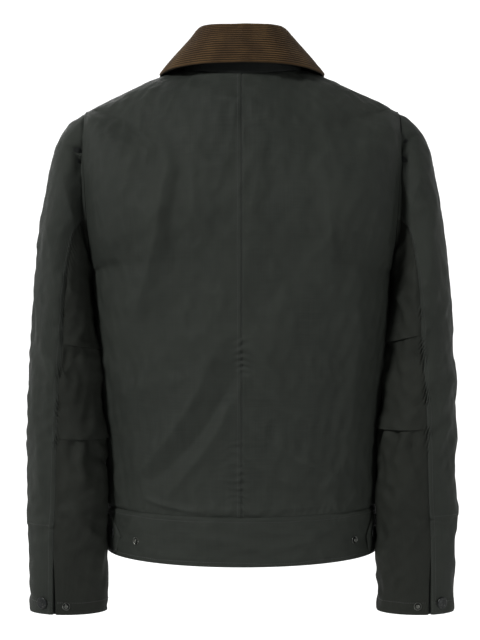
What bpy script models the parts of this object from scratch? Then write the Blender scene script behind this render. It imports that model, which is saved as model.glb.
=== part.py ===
"""Hip-length work jacket with a corduroy collar, filled out with no wearer in it.

Metres. +Z up, the front faces -Y, the wearer's left is +X. The origin lies midway between the neck ends
of the two shoulder seams. Each cut piece is a closed wall: its outer face is a grid of points worked out
from the tables below, and its inner face is that grid moved in along its normals.
"""
from collections import defaultdict, namedtuple
from math import asin, cos, exp, pi, radians, sin

import bmesh
import bpy
from mathutils import Matrix, Vector

# ------------------------------------------------------------------ driving sizes
CLOTH = 0.0018            # waxed cotton with its backing
BAND_CLOTH = 0.0024       # waistband, folded double
CORD_CLOTH = 0.0022       # corduroy with its under collar
SEAM_GAP = 0.0003         # space between two pieces that are sewn together
PROUD = 0.0005            # what lies on a panel stands this far off it

WAIST_SEAM_Z = -0.5820
HEM_Z = -0.6440
ARMPIT_Z = -0.2750
NECK_POINT = Vector((0.080, 0.000, 0.000))
SHOULDER_RISE = 0.0030    # how far the shoulder seam bows up between neck and tip
FRONT_EDGE_X = 0.0060     # the front's edge beside the zip

# Grid steps
BODY_COLUMNS = 9
SIDE_ROWS = 8
SHOULDER_LEVELS = (1.33, 1.52, 1.70, 1.86, 2.0)
REAR_TOP_STEPS, REAR_UNDER_STEPS, FRONT_UNDER_STEPS, FRONT_TOP_STEPS = 7, 4, 3, 8

# Level sections of the body below the armholes. handle: Bezier handle share; 0.55 is round, more is squarer
Body = namedtuple("Body", "z half_width side_y back_y front_y handle")
BODY = (
    Body(-0.6440, 0.1830, -0.020, 0.1300, -0.1540, 0.560),
    Body(-0.5820, 0.1836, -0.020, 0.1310, -0.1535, 0.560),
    Body(-0.5050, 0.1857, -0.019, 0.1290, -0.1515, 0.570),
    Body(-0.4530, 0.1880, -0.017, 0.1285, -0.1505, 0.590),
    Body(-0.4000, 0.1911, -0.014, 0.1295, -0.1495, 0.620),
    Body(-0.3480, 0.1940, -0.009, 0.1312, -0.1480, 0.665),
    Body(-0.3140, 0.1956, -0.004, 0.1323, -0.1464, 0.690),
    Body(-0.2750, 0.1970, 0.000, 0.1335, -0.1440, 0.705),
)

# Sections above the armpit. level 0 is the armpit, 1 the shoulder tip and 2 the neck end of the shoulder.
# mid: where the section starts on the centre line; way: how it runs into the armhole or shoulder seam.
Yoke = namedtuple("Yoke", "level mid_z mid_y mid_reach way_x way_y way_z edge_reach")
BACK_YOKE = (
    Yoke(0.00, -0.275, 0.1335, 0.1390, 0.00, -1.00, 0.00, 0.0940),
    Yoke(0.12, -0.255, 0.1341, 0.1388, 0.01, -1.00, -0.09, 0.0930),
    Yoke(0.30, -0.225, 0.1350, 0.1350, 0.20, -0.97, -0.13, 0.0870),
    Yoke(0.50, -0.190, 0.1355, 0.1270, 0.46, -0.88, 0.04, 0.0780),
    Yoke(0.75, -0.148, 0.1328, 0.1160, 0.50, -0.86, 0.06, 0.0680),
    Yoke(1.00, -0.108, 0.1250, 0.1030, 0.36, -0.91, -0.16, 0.0580),
    Yoke(1.50, -0.055, 0.1045, 0.0700, 0.12, -0.98, -0.02, 0.0560),
    Yoke(2.00, -0.020, 0.0850, 0.0460, 0.00, -0.99, 0.12, 0.0440),
)
FRONT_YOKE = (
    Yoke(0.00, -0.275, -0.1440, 0.1350, 0.00, 1.00, 0.00, 0.1015),
    Yoke(0.12, -0.258, -0.1433, 0.1345, 0.01, 1.00, -0.08, 0.1000),
    Yoke(0.30, -0.234, -0.1421, 0.1300, 0.20, 0.97, -0.10, 0.0930),
    Yoke(0.50, -0.207, -0.1402, 0.1210, 0.46, 0.88, 0.08, 0.0820),
    Yoke(0.75, -0.175, -0.1350, 0.1090, 0.48, 0.88, 0.10, 0.0700),
    Yoke(1.00, -0.145, -0.1260, 0.0950, 0.34, 0.93, -0.15, 0.0600),
    Yoke(1.50, -0.110, -0.1090, 0.0660, 0.10, 0.98, 0.10, 0.0600),
    Yoke(2.00, -0.085, -0.0950, 0.0420, 0.00, 0.93, 0.36, 0.0550),
)

# Rings of the sleeve, from the armhole to the cuff: its outermost and innermost point and half its depth.
# rear_seam: angle round the ring from its outermost point to the seam behind the elbow.
Ring = namedtuple("Ring", "place outer_x outer_z inner_x inner_z half_depth mid_y rear_seam")
SLEEVE = (
    Ring(0, 0.2090, -0.0576, 0.1970, -0.2750, 0.0720, 0.000, 112),
    Ring(1, 0.2220, -0.0660, 0.1995, -0.2810, 0.0745, 0.001, 111),
    Ring(2, 0.2365, -0.0810, 0.2005, -0.2860, 0.0770, 0.002, 110),
    Ring(3, 0.2475, -0.1020, 0.2008, -0.2910, 0.0790, 0.003, 109),
    Ring(4, 0.2575, -0.1420, 0.2005, -0.2990, 0.0800, 0.005, 108),
    Ring(5, 0.2640, -0.1830, 0.1995, -0.3090, 0.0790, 0.008, 106),
    Ring(6, 0.2742, -0.2680, 0.1967, -0.3340, 0.0750, 0.013, 102),
    Ring(7, 0.2798, -0.3580, 0.1925, -0.3760, 0.0680, 0.017, 98),
    Ring(8, 0.2818, -0.4250, 0.1885, -0.4330, 0.0610, 0.024, 90),
    Ring(9, 0.2828, -0.4880, 0.1845, -0.4920, 0.0540, 0.028, 85),
    Ring(10, 0.2826, -0.5600, 0.1798, -0.5620, 0.0465, 0.032, 80),
    Ring(11, 0.2812, -0.6350, 0.1776, -0.6350, 0.0395, 0.035, 74),
    Ring(12, 0.2790, -0.7170, 0.1774, -0.7170, 0.0340, 0.037, 72),
)
FRONT_SEAM = 236          # degrees round the ring to the seam inside the arm
SLEEVE_ROWS = (0, 0.5, 1, 1.6, 2.3, 3, 4, 5, 6, 6.6, 6.92, 7.02, 7.5, 8, 8.5, 8.92, 9.02, 9.5, 10.2, 11, 11.5, 12)
ELBOW_PLEATS = (6.97, 8.97)
PLEAT_RISE = 0.0025
PLEAT_RUN = 0.45          # how far above its edge a pleat swells, in rings
VENT_PLACE = 11.1
VENT_PART = 0.0026        # how far the vent's edges stand apart at the cuff

# Largest folds of the back and the front: ridges between two points seen from behind or from the front
Fold = namedtuple("Fold", "x0 z0 x1 z1 width rise")
BACK_FOLDS = (
    Fold(0.098, -0.140, 0.108, -0.250, 0.016, 0.0040),
    Fold(0.110, -0.250, 0.142, -0.335, 0.018, 0.0035),
    Fold(0.133, -0.525, 0.034, -0.370, 0.014, 0.0032),
    Fold(0.112, -0.535, 0.008, -0.405, 0.013, -0.0026),
    Fold(-0.012, -0.385, -0.064, -0.425, 0.013, 0.0028),
    Fold(-0.010, -0.465, -0.112, -0.530, 0.015, 0.0032),
    Fold(-0.100, -0.150, -0.118, -0.290, 0.018, 0.0030),
    Fold(0.120, -0.572, -0.120, -0.572, 0.009, 0.0030),
)
FRONT_FOLDS = (
    Fold(0.095, -0.160, 0.120, -0.300, 0.018, 0.0035),
    Fold(0.120, -0.540, 0.040, -0.400, 0.015, 0.0030),
    Fold(-0.095, -0.170, -0.115, -0.290, 0.018, 0.0035),
    Fold(-0.125, -0.530, -0.045, -0.420, 0.015, 0.0030),
    Fold(0.120, -0.572, -0.120, -0.572, 0.009, 0.0030),
)

# Collar, from centre back (0) past the shoulder seam (3) to its front end: fold line and outer edge
Collar = namedtuple("Collar", "station fold_x fold_y fold_z edge_x edge_y edge_z")
COLLAR = (
    Collar(0, 0.0000, 0.0740, 0.0390, 0.0000, 0.0990, -0.0080),
    Collar(1, 0.0300, 0.0670, 0.0400, 0.0460, 0.0910, -0.0080),
    Collar(2, 0.0520, 0.0420, 0.0420, 0.0860, 0.0620, -0.0080),
    Collar(3, 0.0600, 0.0020, 0.0420, 0.1110, 0.0040, -0.0085),
    Collar(4, 0.0560, -0.0360, 0.0280, 0.1080, -0.0480, -0.0320),
    Collar(5, 0.0400, -0.0640, 0.0020, 0.0870, -0.0840, -0.0620),
    Collar(6, 0.0220, -0.0790, -0.0180, 0.0670, -0.1080, -0.0930),
    Collar(7, 0.0060, -0.0860, -0.0280, 0.0470, -0.1220, -0.1190),
)
SHOULDER_STATION = 3
FOLD_RADIUS = 0.0060
WALE_RISE = 0.0006
WALES = 22                # from inside the neck over the fold to the edge of the leaf

# Waist tabs: how far each reaches towards the centre back at its top corner, tip and bottom corner
Tab = namedtuple("Tab", "side top_x tip_x bottom_x snap_x stud_x")
TABS = (
    Tab(1, 0.1683, 0.1556, 0.1625, 0.1675, 0.1352),
    Tab(-1, 0.1700, 0.1610, 0.1645, 0.1700, 0.1440),
)
TAB_TOP_Z, TAB_TIP_Z, TAB_BOTTOM_Z = -0.5925, -0.6170, -0.6400
TAB_CLOTH = 0.0020
SNAP_Z = -0.6140
WAIST_STUD_Z = -0.6190

SNAP_RADIUS = 0.0075
SNAP_RISE = 0.0024
STUD_RADIUS = 0.0052
STUD_RISE = 0.0026
CUFF_SNAP_PLACE, CUFF_SNAP_ANGLE = 11.82, 54
CUFF_STUD_PLACE, CUFF_STUD_ANGLE = 11.86, 92

# Zip, by depth under the fronts' outer face (x, depth)
ZIP_TOP_LEVEL = 1.90
TEETH_END = 0.100         # how far below the top of the slider the teeth start, in levels
ZIP_SECTION = ((0.00015, 0.0011), (0.0030, 0.0011), (0.0034, 0.0031), (0.0125, 0.0031),
               (0.0125, 0.0040), (0.0034, 0.0040), (0.0030, 0.0046), (0.00015, 0.0046))
SLIDER_HALF_WIDTH, SLIDER_LENGTH, SLIDER_PLATE = 0.0045, 0.0105, 0.0012
BAIL_HALF_WIDTH, BAIL_TOP, BAIL_BOTTOM, BAIL_ROOM, BAIL_BAR = 0.0008, 0.0015, 0.0085, 0.0022, 0.0009
PULL_HALF_WIDTH, PULL_CLOTH, PULL_END = 0.0034, 0.0010, 0.0300
PULL_EYE_HALF_WIDTH, PULL_EYE_END, PULL_BAR = 0.0014, 0.0052, 0.0005

COLOURS = {
    "cloth": ((0.030, 0.034, 0.030), 0.62, 0.0),
    "corduroy": ((0.070, 0.043, 0.018), 0.90, 0.0),
    "snap": ((0.030, 0.030, 0.029), 0.38, 0.8),
    "tape": ((0.020, 0.021, 0.020), 0.80, 0.0),
    "zip_metal": ((0.25, 0.20, 0.11), 0.35, 1.0),
}


# ------------------------------------------------------------------ helpers
def read_table(rows, place):
    """A row of the table at any place: a smooth run through the rows, with no overshoot."""
    places = [row[0] for row in rows]
    order = 1 if places[-1] > places[0] else -1
    steps = len(rows) - 1
    i = max([k for k in range(steps) if (place - places[k]) * order >= 0] or [0])
    span = places[i + 1] - places[i]
    t = min(max((place - places[i]) / span, 0.0), 1.0)
    values = [place]
    for column in range(1, len(rows[0])):
        rise = [(rows[k + 1][column] - rows[k][column]) / (places[k + 1] - places[k]) for k in range(steps)]

        def slope(k):
            if k in (0, steps):
                return rise[min(k, steps - 1)]
            before, after = rise[k - 1], rise[k]
            return 0.0 if before * after <= 0 else 2 * before * after / (before + after)

        a, b = rows[i][column], rows[i + 1][column]
        values.append(a + (b - a) * t * t * (3 - 2 * t)
                      + span * (slope(i) * t * (1 - t) ** 2 - slope(i + 1) * t * t * (1 - t)))
    return type(rows[0])(*values)


def bezier(a, b, c, d, t):
    s = 1 - t
    return a * s ** 3 + b * (3 * s * s * t) + c * (3 * s * t * t) + d * t ** 3


def ease(t):
    return t * t * (3 - 2 * t)


def unease(value):
    return 0.5 - sin(asin(1 - 2 * value) / 3)


def spread(start, end, steps):
    return [start + (end - start) * k / steps for k in range(steps + 1)]


def ridge(x, z, folds):
    """Height of the folds at a point, each a ridge that tapers off at both ends."""
    height = 0.0
    for fold in folds:
        start = Vector((fold.x0, fold.z0))
        along = Vector((fold.x1, fold.z1)) - start
        share = (Vector((x, z)) - start).dot(along) / along.length_squared
        nearest = start + along * min(max(share, 0.0), 1.0)
        away = (Vector((x, z)) - nearest).length / fold.width
        taper = sin(pi * min(max(share * 0.8 + 0.1, 0.0), 1.0)) ** 0.5
        height += fold.rise * taper * exp(-away * away)
    return height


# ------------------------------------------------------------------ surfaces
def sleeve_point(place, angle):
    """A point of the sleeve: angle 0 is outermost, 90 faces back, 180 is innermost, 270 faces forward."""
    ring = read_table(SLEEVE, place)
    outer = Vector((ring.outer_x, ring.mid_y, ring.outer_z))
    inner = Vector((ring.inner_x, ring.mid_y, ring.inner_z))
    turn = radians(angle)
    return (outer + inner) / 2 + (outer - inner) / 2 * cos(turn) + Vector((0, ring.half_depth * sin(turn), 0))


def sleeve_angles(place):
    """Angles of the grid's columns round the sleeve: the top sleeve's, then the under sleeve's."""
    rear = read_table(SLEEVE, place).rear_seam
    top = spread(rear, 0, REAR_TOP_STEPS) + spread(0, FRONT_SEAM - 360, FRONT_TOP_STEPS)[1:]
    under = spread(FRONT_SEAM, 180, FRONT_UNDER_STEPS) + spread(180, rear, REAR_UNDER_STEPS)[1:]
    return top, under


def pleat_rise(place, share):
    """How far the elbow's pleats swell the under sleeve; share runs 0 to 1 from seam to seam."""
    rise = 0.0
    for edge in ELBOW_PLEATS:
        above = (edge - place) / PLEAT_RUN
        if 0 <= above < 1:
            rise += PLEAT_RISE * (1 - above) ** 1.5
    return rise * min(1.0, 3.0 * share * (1 - share) * 1.4)


def shoulder_point(level):
    tip = sleeve_point(0, 0)
    share = (level - 1) ** 2 * (3 - level)
    return tip.lerp(NECK_POINT, share) + Vector((0, 0, SHOULDER_RISE * sin(pi * share)))


def panel_point(level, share, back, start_x=0.0, level_z=None):
    """A point of the back or the front. share runs from the centre line to the side, armhole or shoulder.

    level -1 to 0 climbs the side seam, 0 to 1 the armhole and 1 to 2 the shoulder seam, slowing down at
    the corners so that the panel runs smoothly past them. With level_z it is the flat section at that height.
    """
    way_sign = 1 if back else -1
    if level < 0 or level_z is not None:
        z = level_z if level_z is not None else ARMPIT_Z + level * (ARMPIT_Z - WAIST_SEAM_Z)
        ring = read_table(BODY, z)
        mid_y = ring.back_y if back else ring.front_y
        centre = Vector((start_x, mid_y, z))
        edge = Vector((ring.half_width, ring.side_y, z))
        near = centre + Vector(((ring.half_width - start_x) * ring.handle, 0, 0))
        far = edge + Vector((0, (mid_y - ring.side_y) * ring.handle, 0))
        return bezier(centre, near, far, edge, share)
    yoke = read_table(BACK_YOKE if back else FRONT_YOKE, level)
    centre = Vector((start_x, yoke.mid_y, yoke.mid_z))
    if level <= 1:
        edge = sleeve_point(0, way_sign * 180 * (1 - ease(level)))
    else:
        edge = shoulder_point(level)
    near = centre + Vector((yoke.mid_reach, 0, 0))
    far = edge - Vector((yoke.way_x, yoke.way_y, yoke.way_z)).normalized() * yoke.edge_reach
    return bezier(centre, near, far, edge, share)


def panel_levels(back):
    """Rows of a panel's grid; those on the armhole match the sleeve's columns."""
    top, under = sleeve_angles(0)
    if back:
        armhole = [1 - angle / 180 for angle in under if angle <= 180][1:]
        armhole += [1 - angle / 180 for angle in top if angle >= 0][1:]
    else:
        armhole = [1 - (360 - angle) / 180 for angle in reversed(under) if angle >= 180][1:]
        armhole += [1 + angle / 180 for angle in reversed(top) if angle <= 0][1:]
    return spread(-1, 0, SIDE_ROWS) + [unease(share) for share in armhole] + list(SHOULDER_LEVELS)


def panel_grid(side, back):
    grid = []
    for level in panel_levels(back):
        row = []
        for share in spread(0, 1, BODY_COLUMNS):
            point = panel_point(level, share, back, start_x=0.0 if back else FRONT_EDGE_X)
            point.x *= side
            folds = BACK_FOLDS if back else FRONT_FOLDS
            lift = ridge(point.x, point.z, folds) * (1 - share ** 4) * (1 if back else -1)
            fade = min(1.0, (2 - level) * 4) * min(1.0, (level + 1) * 12)
            row.append(point + Vector((0, lift * fade, 0)))
        grid.append(row)
    return grid


def sleeve_grid(side, top):
    grid = []
    for place in SLEEVE_ROWS:
        angles = sleeve_angles(place)[0 if top else 1]
        ring = read_table(SLEEVE, place)
        centre = Vector(((ring.outer_x + ring.inner_x) / 2, ring.mid_y, (ring.outer_z + ring.inner_z) / 2))
        row = []
        for k, angle in enumerate(angles):
            point = sleeve_point(place, angle)
            if not top:
                out = point - centre
                out.z = 0
                point += out.normalized() * pleat_rise(place, k / (len(angles) - 1))
            point.x *= side
            row.append(point)
        grid.append(row)
    return grid


# ------------------------------------------------------------------ walls
def grid_normals(grid, flip):
    rows, columns = len(grid), len(grid[0])
    normals = []
    for i in range(rows):
        line = []
        for j in range(columns):
            down = grid[min(i + 1, rows - 1)][j] - grid[max(i - 1, 0)][j]
            across = grid[i][min(j + 1, columns - 1)] - grid[i][max(j - 1, 0)]
            line.append(across.cross(down).normalized() * flip)
        normals.append(line)
    return normals


def edge_steps(grid, i, j):
    """From an edge point of the grid to its neighbours inside the piece."""
    rows, columns = len(grid), len(grid[0])
    steps = []
    if i in (0, rows - 1):
        steps.append(grid[1 if i == 0 else rows - 2][j] - grid[i][j])
    if j in (0, columns - 1):
        steps.append(grid[i][1 if j == 0 else columns - 2] - grid[i][j])
    return [step.normalized() for step in steps]


def key(point):
    return tuple(round(value * 1e5) for value in point)


def mitre(pieces):
    """Turn the normals at shared seams to the seam's bisector wherever the outside corner is convex."""
    meet = defaultdict(list)
    for name, (grid, normals) in pieces.items():
        for i, row in enumerate(grid):
            for j, point in enumerate(row):
                inward = edge_steps(grid, i, j)
                if inward:
                    way = sum(inward, Vector()).normalized()
                    meet[key(point)].append((name, normals[i][j].copy(), way))
    for name, (grid, normals) in pieces.items():
        for i, row in enumerate(grid):
            for j, point in enumerate(row):
                if not edge_steps(grid, i, j):
                    continue
                own = normals[i][j].copy()
                for other, normal, way in meet[key(point)]:
                    if other != name and way.dot(own) < 0.02:
                        normals[i][j] += normal
                normals[i][j].normalize()


def trimmed(grid, trims):
    """Draw a grid's edges in for the seam gap. trims: first row, last row, first column, last column."""
    first_row, last_row, first_column, last_column = trims
    result = [[point.copy() for point in row] for row in grid]
    rows, columns = len(grid), len(grid[0])

    def draw_in(i, j, to_i, to_j, amount):
        way = grid[to_i][to_j] - grid[i][j]
        result[i][j] += way.normalized() * amount

    for j in range(columns):
        draw_in(0, j, 1, j, first_row)
        draw_in(rows - 1, j, rows - 2, j, last_row)
    for i in range(rows):
        place = i / (rows - 1)
        draw_in(i, 0, i, 1, first_column(place) if callable(first_column) else first_column)
        draw_in(i, columns - 1, i, columns - 2, last_column(place) if callable(last_column) else last_column)
    return result


def wall_mesh(outer, inner):
    """One closed wall between two grids of the same size."""
    mesh = bmesh.new()
    rows, columns = len(outer), len(outer[0])
    out = [[mesh.verts.new(point) for point in row] for row in outer]
    back = [[mesh.verts.new(point) for point in row] for row in inner]
    for i in range(rows - 1):
        for j in range(columns - 1):
            mesh.faces.new((out[i][j], out[i][j + 1], out[i + 1][j + 1], out[i + 1][j]))
            mesh.faces.new((back[i][j], back[i + 1][j], back[i + 1][j + 1], back[i][j + 1]))
    rim = [(0, j) for j in range(columns)] + [(i, columns - 1) for i in range(1, rows)]
    rim += [(rows - 1, j) for j in reversed(range(columns - 1))] + [(i, 0) for i in reversed(range(1, rows - 1))]
    for (i, j), (k, m) in zip(rim, rim[1:] + rim[:1]):
        mesh.faces.new((out[i][j], back[i][j], back[k][m], out[k][m]))
    bmesh.ops.recalc_face_normals(mesh, faces=mesh.faces)
    return mesh


MATERIALS = {}


def material(name):
    if name not in MATERIALS:
        colour, roughness, metallic = COLOURS[name]
        made = bpy.data.materials.new(name)
        made.use_nodes = True
        shader = made.node_tree.nodes["Principled BSDF"]
        shader.inputs["Base Color"].default_value = (*colour, 1)
        shader.inputs["Roughness"].default_value = roughness
        shader.inputs["Metallic"].default_value = metallic
        MATERIALS[name] = made
    return MATERIALS[name]


def add_object(name, mesh, finish):
    data = bpy.data.meshes.new(name)
    mesh.to_mesh(data)
    mesh.free()
    data.shade_smooth()
    data.set_sharp_from_angle(angle=radians(40))
    thing = bpy.data.objects.new(name, data)
    thing.data.materials.append(material(finish))
    bpy.context.collection.objects.link(thing)
    return thing


def add_wall(name, grid, normals, thickness, finish, trims=None, lift=0.0):
    half = SEAM_GAP / 2
    trims = trims or (half, half, half, half)
    outer = [[p + n * lift for p, n in zip(row, lines)] for row, lines in zip(grid, normals)]
    inner = [[p + n * (lift - thickness) for p, n in zip(row, lines)] for row, lines in zip(grid, normals)]
    return add_object(name, wall_mesh(trimmed(outer, trims), trimmed(inner, trims)), finish)


# ------------------------------------------------------------------ body and sleeves
def side_name(side):
    return "left" if side > 0 else "right"


def vent_trim(place_share):
    """The vent's edge stands back from the seam towards the cuff."""
    place = SLEEVE_ROWS[round(place_share * (len(SLEEVE_ROWS) - 1))]
    opened = max(0.0, (place - VENT_PLACE) / (SLEEVE_ROWS[-1] - VENT_PLACE))
    return SEAM_GAP / 2 + VENT_PART / 2 * opened ** 0.7


def build_shell():
    half = SEAM_GAP / 2
    pieces = {}
    for side in (1, -1):
        turn = -side
        for kind, grid, flip in (
                ("back", panel_grid(side, True), turn), ("front", panel_grid(side, False), -turn),
                ("sleeve_top", sleeve_grid(side, True), -turn), ("sleeve_under", sleeve_grid(side, False), -turn)):
            pieces[f"{kind}_{side_name(side)}"] = (grid, grid_normals(grid, flip))
    grid = stand_grid()
    pieces["collar_stand"] = (grid, grid_normals(grid, -1))
    mitre(pieces)
    for name, (grid, normals) in pieces.items():
        trims = (half, half, half, half)
        if name.startswith("sleeve_top"):
            trims = (half, 0.0, vent_trim, half)
        elif name.startswith("sleeve_under"):
            trims = (half, 0.0, half, vent_trim)
        add_wall(name, grid, normals, CLOTH, "cloth", trims)


# ------------------------------------------------------------------ waistband and tabs
def band_point(z, share, back, side, start_x=0.0):
    point = panel_point(-1, share, back, start_x=start_x, level_z=z)
    point.x *= side
    return point


def build_waistband():
    heights = (WAIST_SEAM_Z, (WAIST_SEAM_Z + HEM_Z) / 2, HEM_Z)
    half = SEAM_GAP / 2
    shares = spread(0, 1, BODY_COLUMNS)
    grid = []
    for z in heights:
        left = [band_point(z, share, True, 1) for share in reversed(shares)]
        grid.append(left + [band_point(z, share, True, -1) for share in shares[1:]])
    pieces = {"waistband_back": (grid, grid_normals(grid, -1))}
    for side in (1, -1):
        grid = [[band_point(z, share, False, side, FRONT_EDGE_X) for share in shares] for z in heights]
        pieces[f"waistband_front_{side_name(side)}"] = (grid, grid_normals(grid, -side))
    mitre(pieces)
    for name, (grid, normals) in pieces.items():
        first = half if name == "waistband_back" else 0.0
        add_wall(name, grid, normals, BAND_CLOTH, "cloth", (half, 0.0, first, half), lift=PROUD)


def share_at_x(z, x):
    """Where the back's level section at height z reaches x."""
    low, high = 0.0, 1.0
    for _ in range(30):
        middle = (low + high) / 2
        if panel_point(-1, middle, True, level_z=z).x < x:
            low = middle
        else:
            high = middle
    return low


def band_frame(side, x, z, lift):
    share = share_at_x(z, x)
    here = band_point(z, share, True, side)
    beside = band_point(z, share + 0.01, True, side)
    normal = Vector((0, 0, 1)).cross(beside - here).normalized() * side
    return here + normal * lift, normal


def build_tabs():
    for tab in TABS:
        rows = ((TAB_TOP_Z, tab.top_x), ((TAB_TOP_Z + TAB_TIP_Z) / 2, (tab.top_x + tab.tip_x) / 2),
                (TAB_TIP_Z, tab.tip_x), ((TAB_TIP_Z + TAB_BOTTOM_Z) / 2, (tab.tip_x + tab.bottom_x) / 2),
                (TAB_BOTTOM_Z, tab.bottom_x))
        grid = []
        for z, reach in rows:
            end = share_at_x(z, reach)
            grid.append([band_point(z, share, True, tab.side) for share in spread(0.999, end, 9)])
        name = side_name(tab.side)
        lift = PROUD + SEAM_GAP + TAB_CLOTH
        add_wall(f"tab_{name}", grid, grid_normals(grid, -tab.side), TAB_CLOTH, "cloth",
                 (0.0, 0.0, SEAM_GAP / 2, 0.0), lift=lift)
        place, normal = band_frame(tab.side, tab.snap_x, SNAP_Z, lift + 2 * SEAM_GAP)
        add_snap(f"tab_snap_{name}", place, normal)
        place, normal = band_frame(tab.side, tab.stud_x, WAIST_STUD_Z, PROUD + 1.5 * SEAM_GAP)
        add_stud(f"waist_stud_{name}", place, normal)


# ------------------------------------------------------------------ press studs
def turned(name, profile, place, normal, steps, finish):
    """A solid turned about the normal from its profile of (radius, height) points, axis to axis."""
    mesh = bmesh.new()
    pose = Matrix.Translation(place) @ normal.to_track_quat("Z", "Y").to_matrix().to_4x4()
    rings = []
    for radius, height in profile:
        if radius == 0:
            rings.append([mesh.verts.new(pose @ Vector((0, 0, height)))])
        else:
            rings.append([mesh.verts.new(pose @ Vector((radius * cos(2 * pi * k / steps),
                                                        radius * sin(2 * pi * k / steps), height)))
                          for k in range(steps)])
    for low, high in zip(rings, rings[1:]):
        for k in range(steps):
            nxt = (k + 1) % steps
            corners = [low[k % len(low)], low[nxt % len(low)], high[nxt % len(high)], high[k % len(high)]]
            mesh.faces.new(list(dict.fromkeys(corners)))
    bmesh.ops.recalc_face_normals(mesh, faces=mesh.faces)
    return add_object(name, mesh, finish)


def add_snap(name, place, normal):
    r, h = SNAP_RADIUS, SNAP_RISE
    profile = ((0, 0), (r * 0.9, 0), (r, h * 0.25), (r * 0.94, h * 0.62), (r * 0.62, h * 0.94), (0, h))
    turned(name, profile, place, normal, 16, "snap")


def add_stud(name, place, normal):
    r, h = STUD_RADIUS, STUD_RISE
    profile = ((0, 0), (r, 0), (r, h * 0.30), (r * 0.62, h * 0.42), (r * 0.46, h * 0.55),
               (r * 0.50, h * 0.88), (r * 0.34, h), (0, h))
    turned(name, profile, place, normal, 14, "snap")


def sleeve_frame(side, place, angle, lift):
    here = sleeve_point(place, angle)
    normal = (sleeve_point(place, angle - 2) - here).cross(sleeve_point(place + 0.05, angle) - here).normalized()
    for vector in (here, normal):
        vector.x *= side
    return here + normal * lift, normal


def build_cuffs():
    for side in (1, -1):
        name = side_name(side)
        place, normal = sleeve_frame(side, CUFF_SNAP_PLACE, CUFF_SNAP_ANGLE, 2.5 * SEAM_GAP)
        add_snap(f"cuff_snap_{name}", place, normal)
        place, normal = sleeve_frame(side, CUFF_STUD_PLACE, CUFF_STUD_ANGLE, 2 * SEAM_GAP)
        add_stud(f"cuff_stud_{name}", place, normal)
        grid = []
        for row in spread(VENT_PLACE - 0.1, SLEEVE_ROWS[-1], 3):
            rear = read_table(SLEEVE, row).rear_seam
            line = []
            for angle in spread(rear + 2, rear - 30, 4):
                point = sleeve_point(row, angle)
                point.x *= side
                line.append(point)
            grid.append(line)
        add_wall(f"cuff_underlap_{name}", grid, grid_normals(grid, side), CLOTH * 0.8, "cloth",
                 (0.0, 0.0004, 0.0, 0.0), lift=-(CLOTH + 3 * SEAM_GAP))


# ------------------------------------------------------------------ collar
def neck_seam(station):
    """The neckline of the back and fronts at a station of the collar."""
    if station <= SHOULDER_STATION:
        return panel_point(2, station / SHOULDER_STATION, True)
    share = (COLLAR[-1].station - station) / (COLLAR[-1].station - SHOULDER_STATION)
    return panel_point(2, share, False, start_x=FRONT_EDGE_X)


def collar_row(station):
    row = read_table(COLLAR, station)
    return (neck_seam(station), Vector((row.fold_x, row.fold_y, row.fold_z)),
            Vector((row.edge_x, row.edge_y, row.edge_z)))


def collar_out(station):
    """Level direction away from the neck at a station of the fold line."""
    last = COLLAR[-1].station
    before = collar_row(max(station - 0.05, 0))[1]
    after = collar_row(min(station + 0.05, last))[1]
    along = after - before
    if station < 0.05:
        along = Vector((1, 0, 0))
    out = Vector((-along.y, along.x, 0)).normalized()
    return out if out.dot(collar_row(station)[2] - collar_row(station)[1]) > 0 else -out


def leaf_section(station, shares, depth, wales):
    """Outer face of the collar from inside the neck over the fold to its edge, moved in by depth."""
    _, fold, edge = collar_row(station)
    out = collar_out(station)
    up = Vector((0, 0, 1))
    radius = FOLD_RADIUS
    roll = [fold + (out * -cos(a) + up * sin(a)) * radius for a in spread(0, pi * 0.80, 6)]
    start = roll[-1]
    reach = (edge - start).length
    way = (out * sin(pi * 0.80) + up * cos(pi * 0.80)).normalized()
    near = start + way * reach * 0.30
    far = edge - (edge - start - out * reach * 0.10).normalized() * reach * 0.30
    arc = pi * 0.80 * radius
    total = arc + reach
    points = []
    for share in shares:
        run = share * total
        if run < arc:
            angle = run / radius
            out_way = out * -cos(angle) + up * sin(angle)
            point = fold + out_way * radius
        else:
            t = (run - arc) / reach
            point = bezier(start, near, far, edge, t)
            ahead = bezier(start, near, far, edge, min(t + 0.01, 1.0)) - bezier(start, near, far, edge, t - 0.01)
            side_way = Vector((-out.y, out.x, 0))
            out_way = side_way.cross(ahead).normalized()
            out_way = out_way if out_way.dot(out) > 0 else -out_way
        lift = WALE_RISE * (0.5 - 0.5 * cos(2 * pi * WALES * share)) if wales else 0.0
        points.append(point + out_way * (lift - depth))
    return points


def collar_stations():
    """Stations from centre back to the front end that match the columns of the back and front."""
    stations = spread(0, SHOULDER_STATION, BODY_COLUMNS)
    return stations + spread(SHOULDER_STATION, COLLAR[-1].station, BODY_COLUMNS)[1:]


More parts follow.
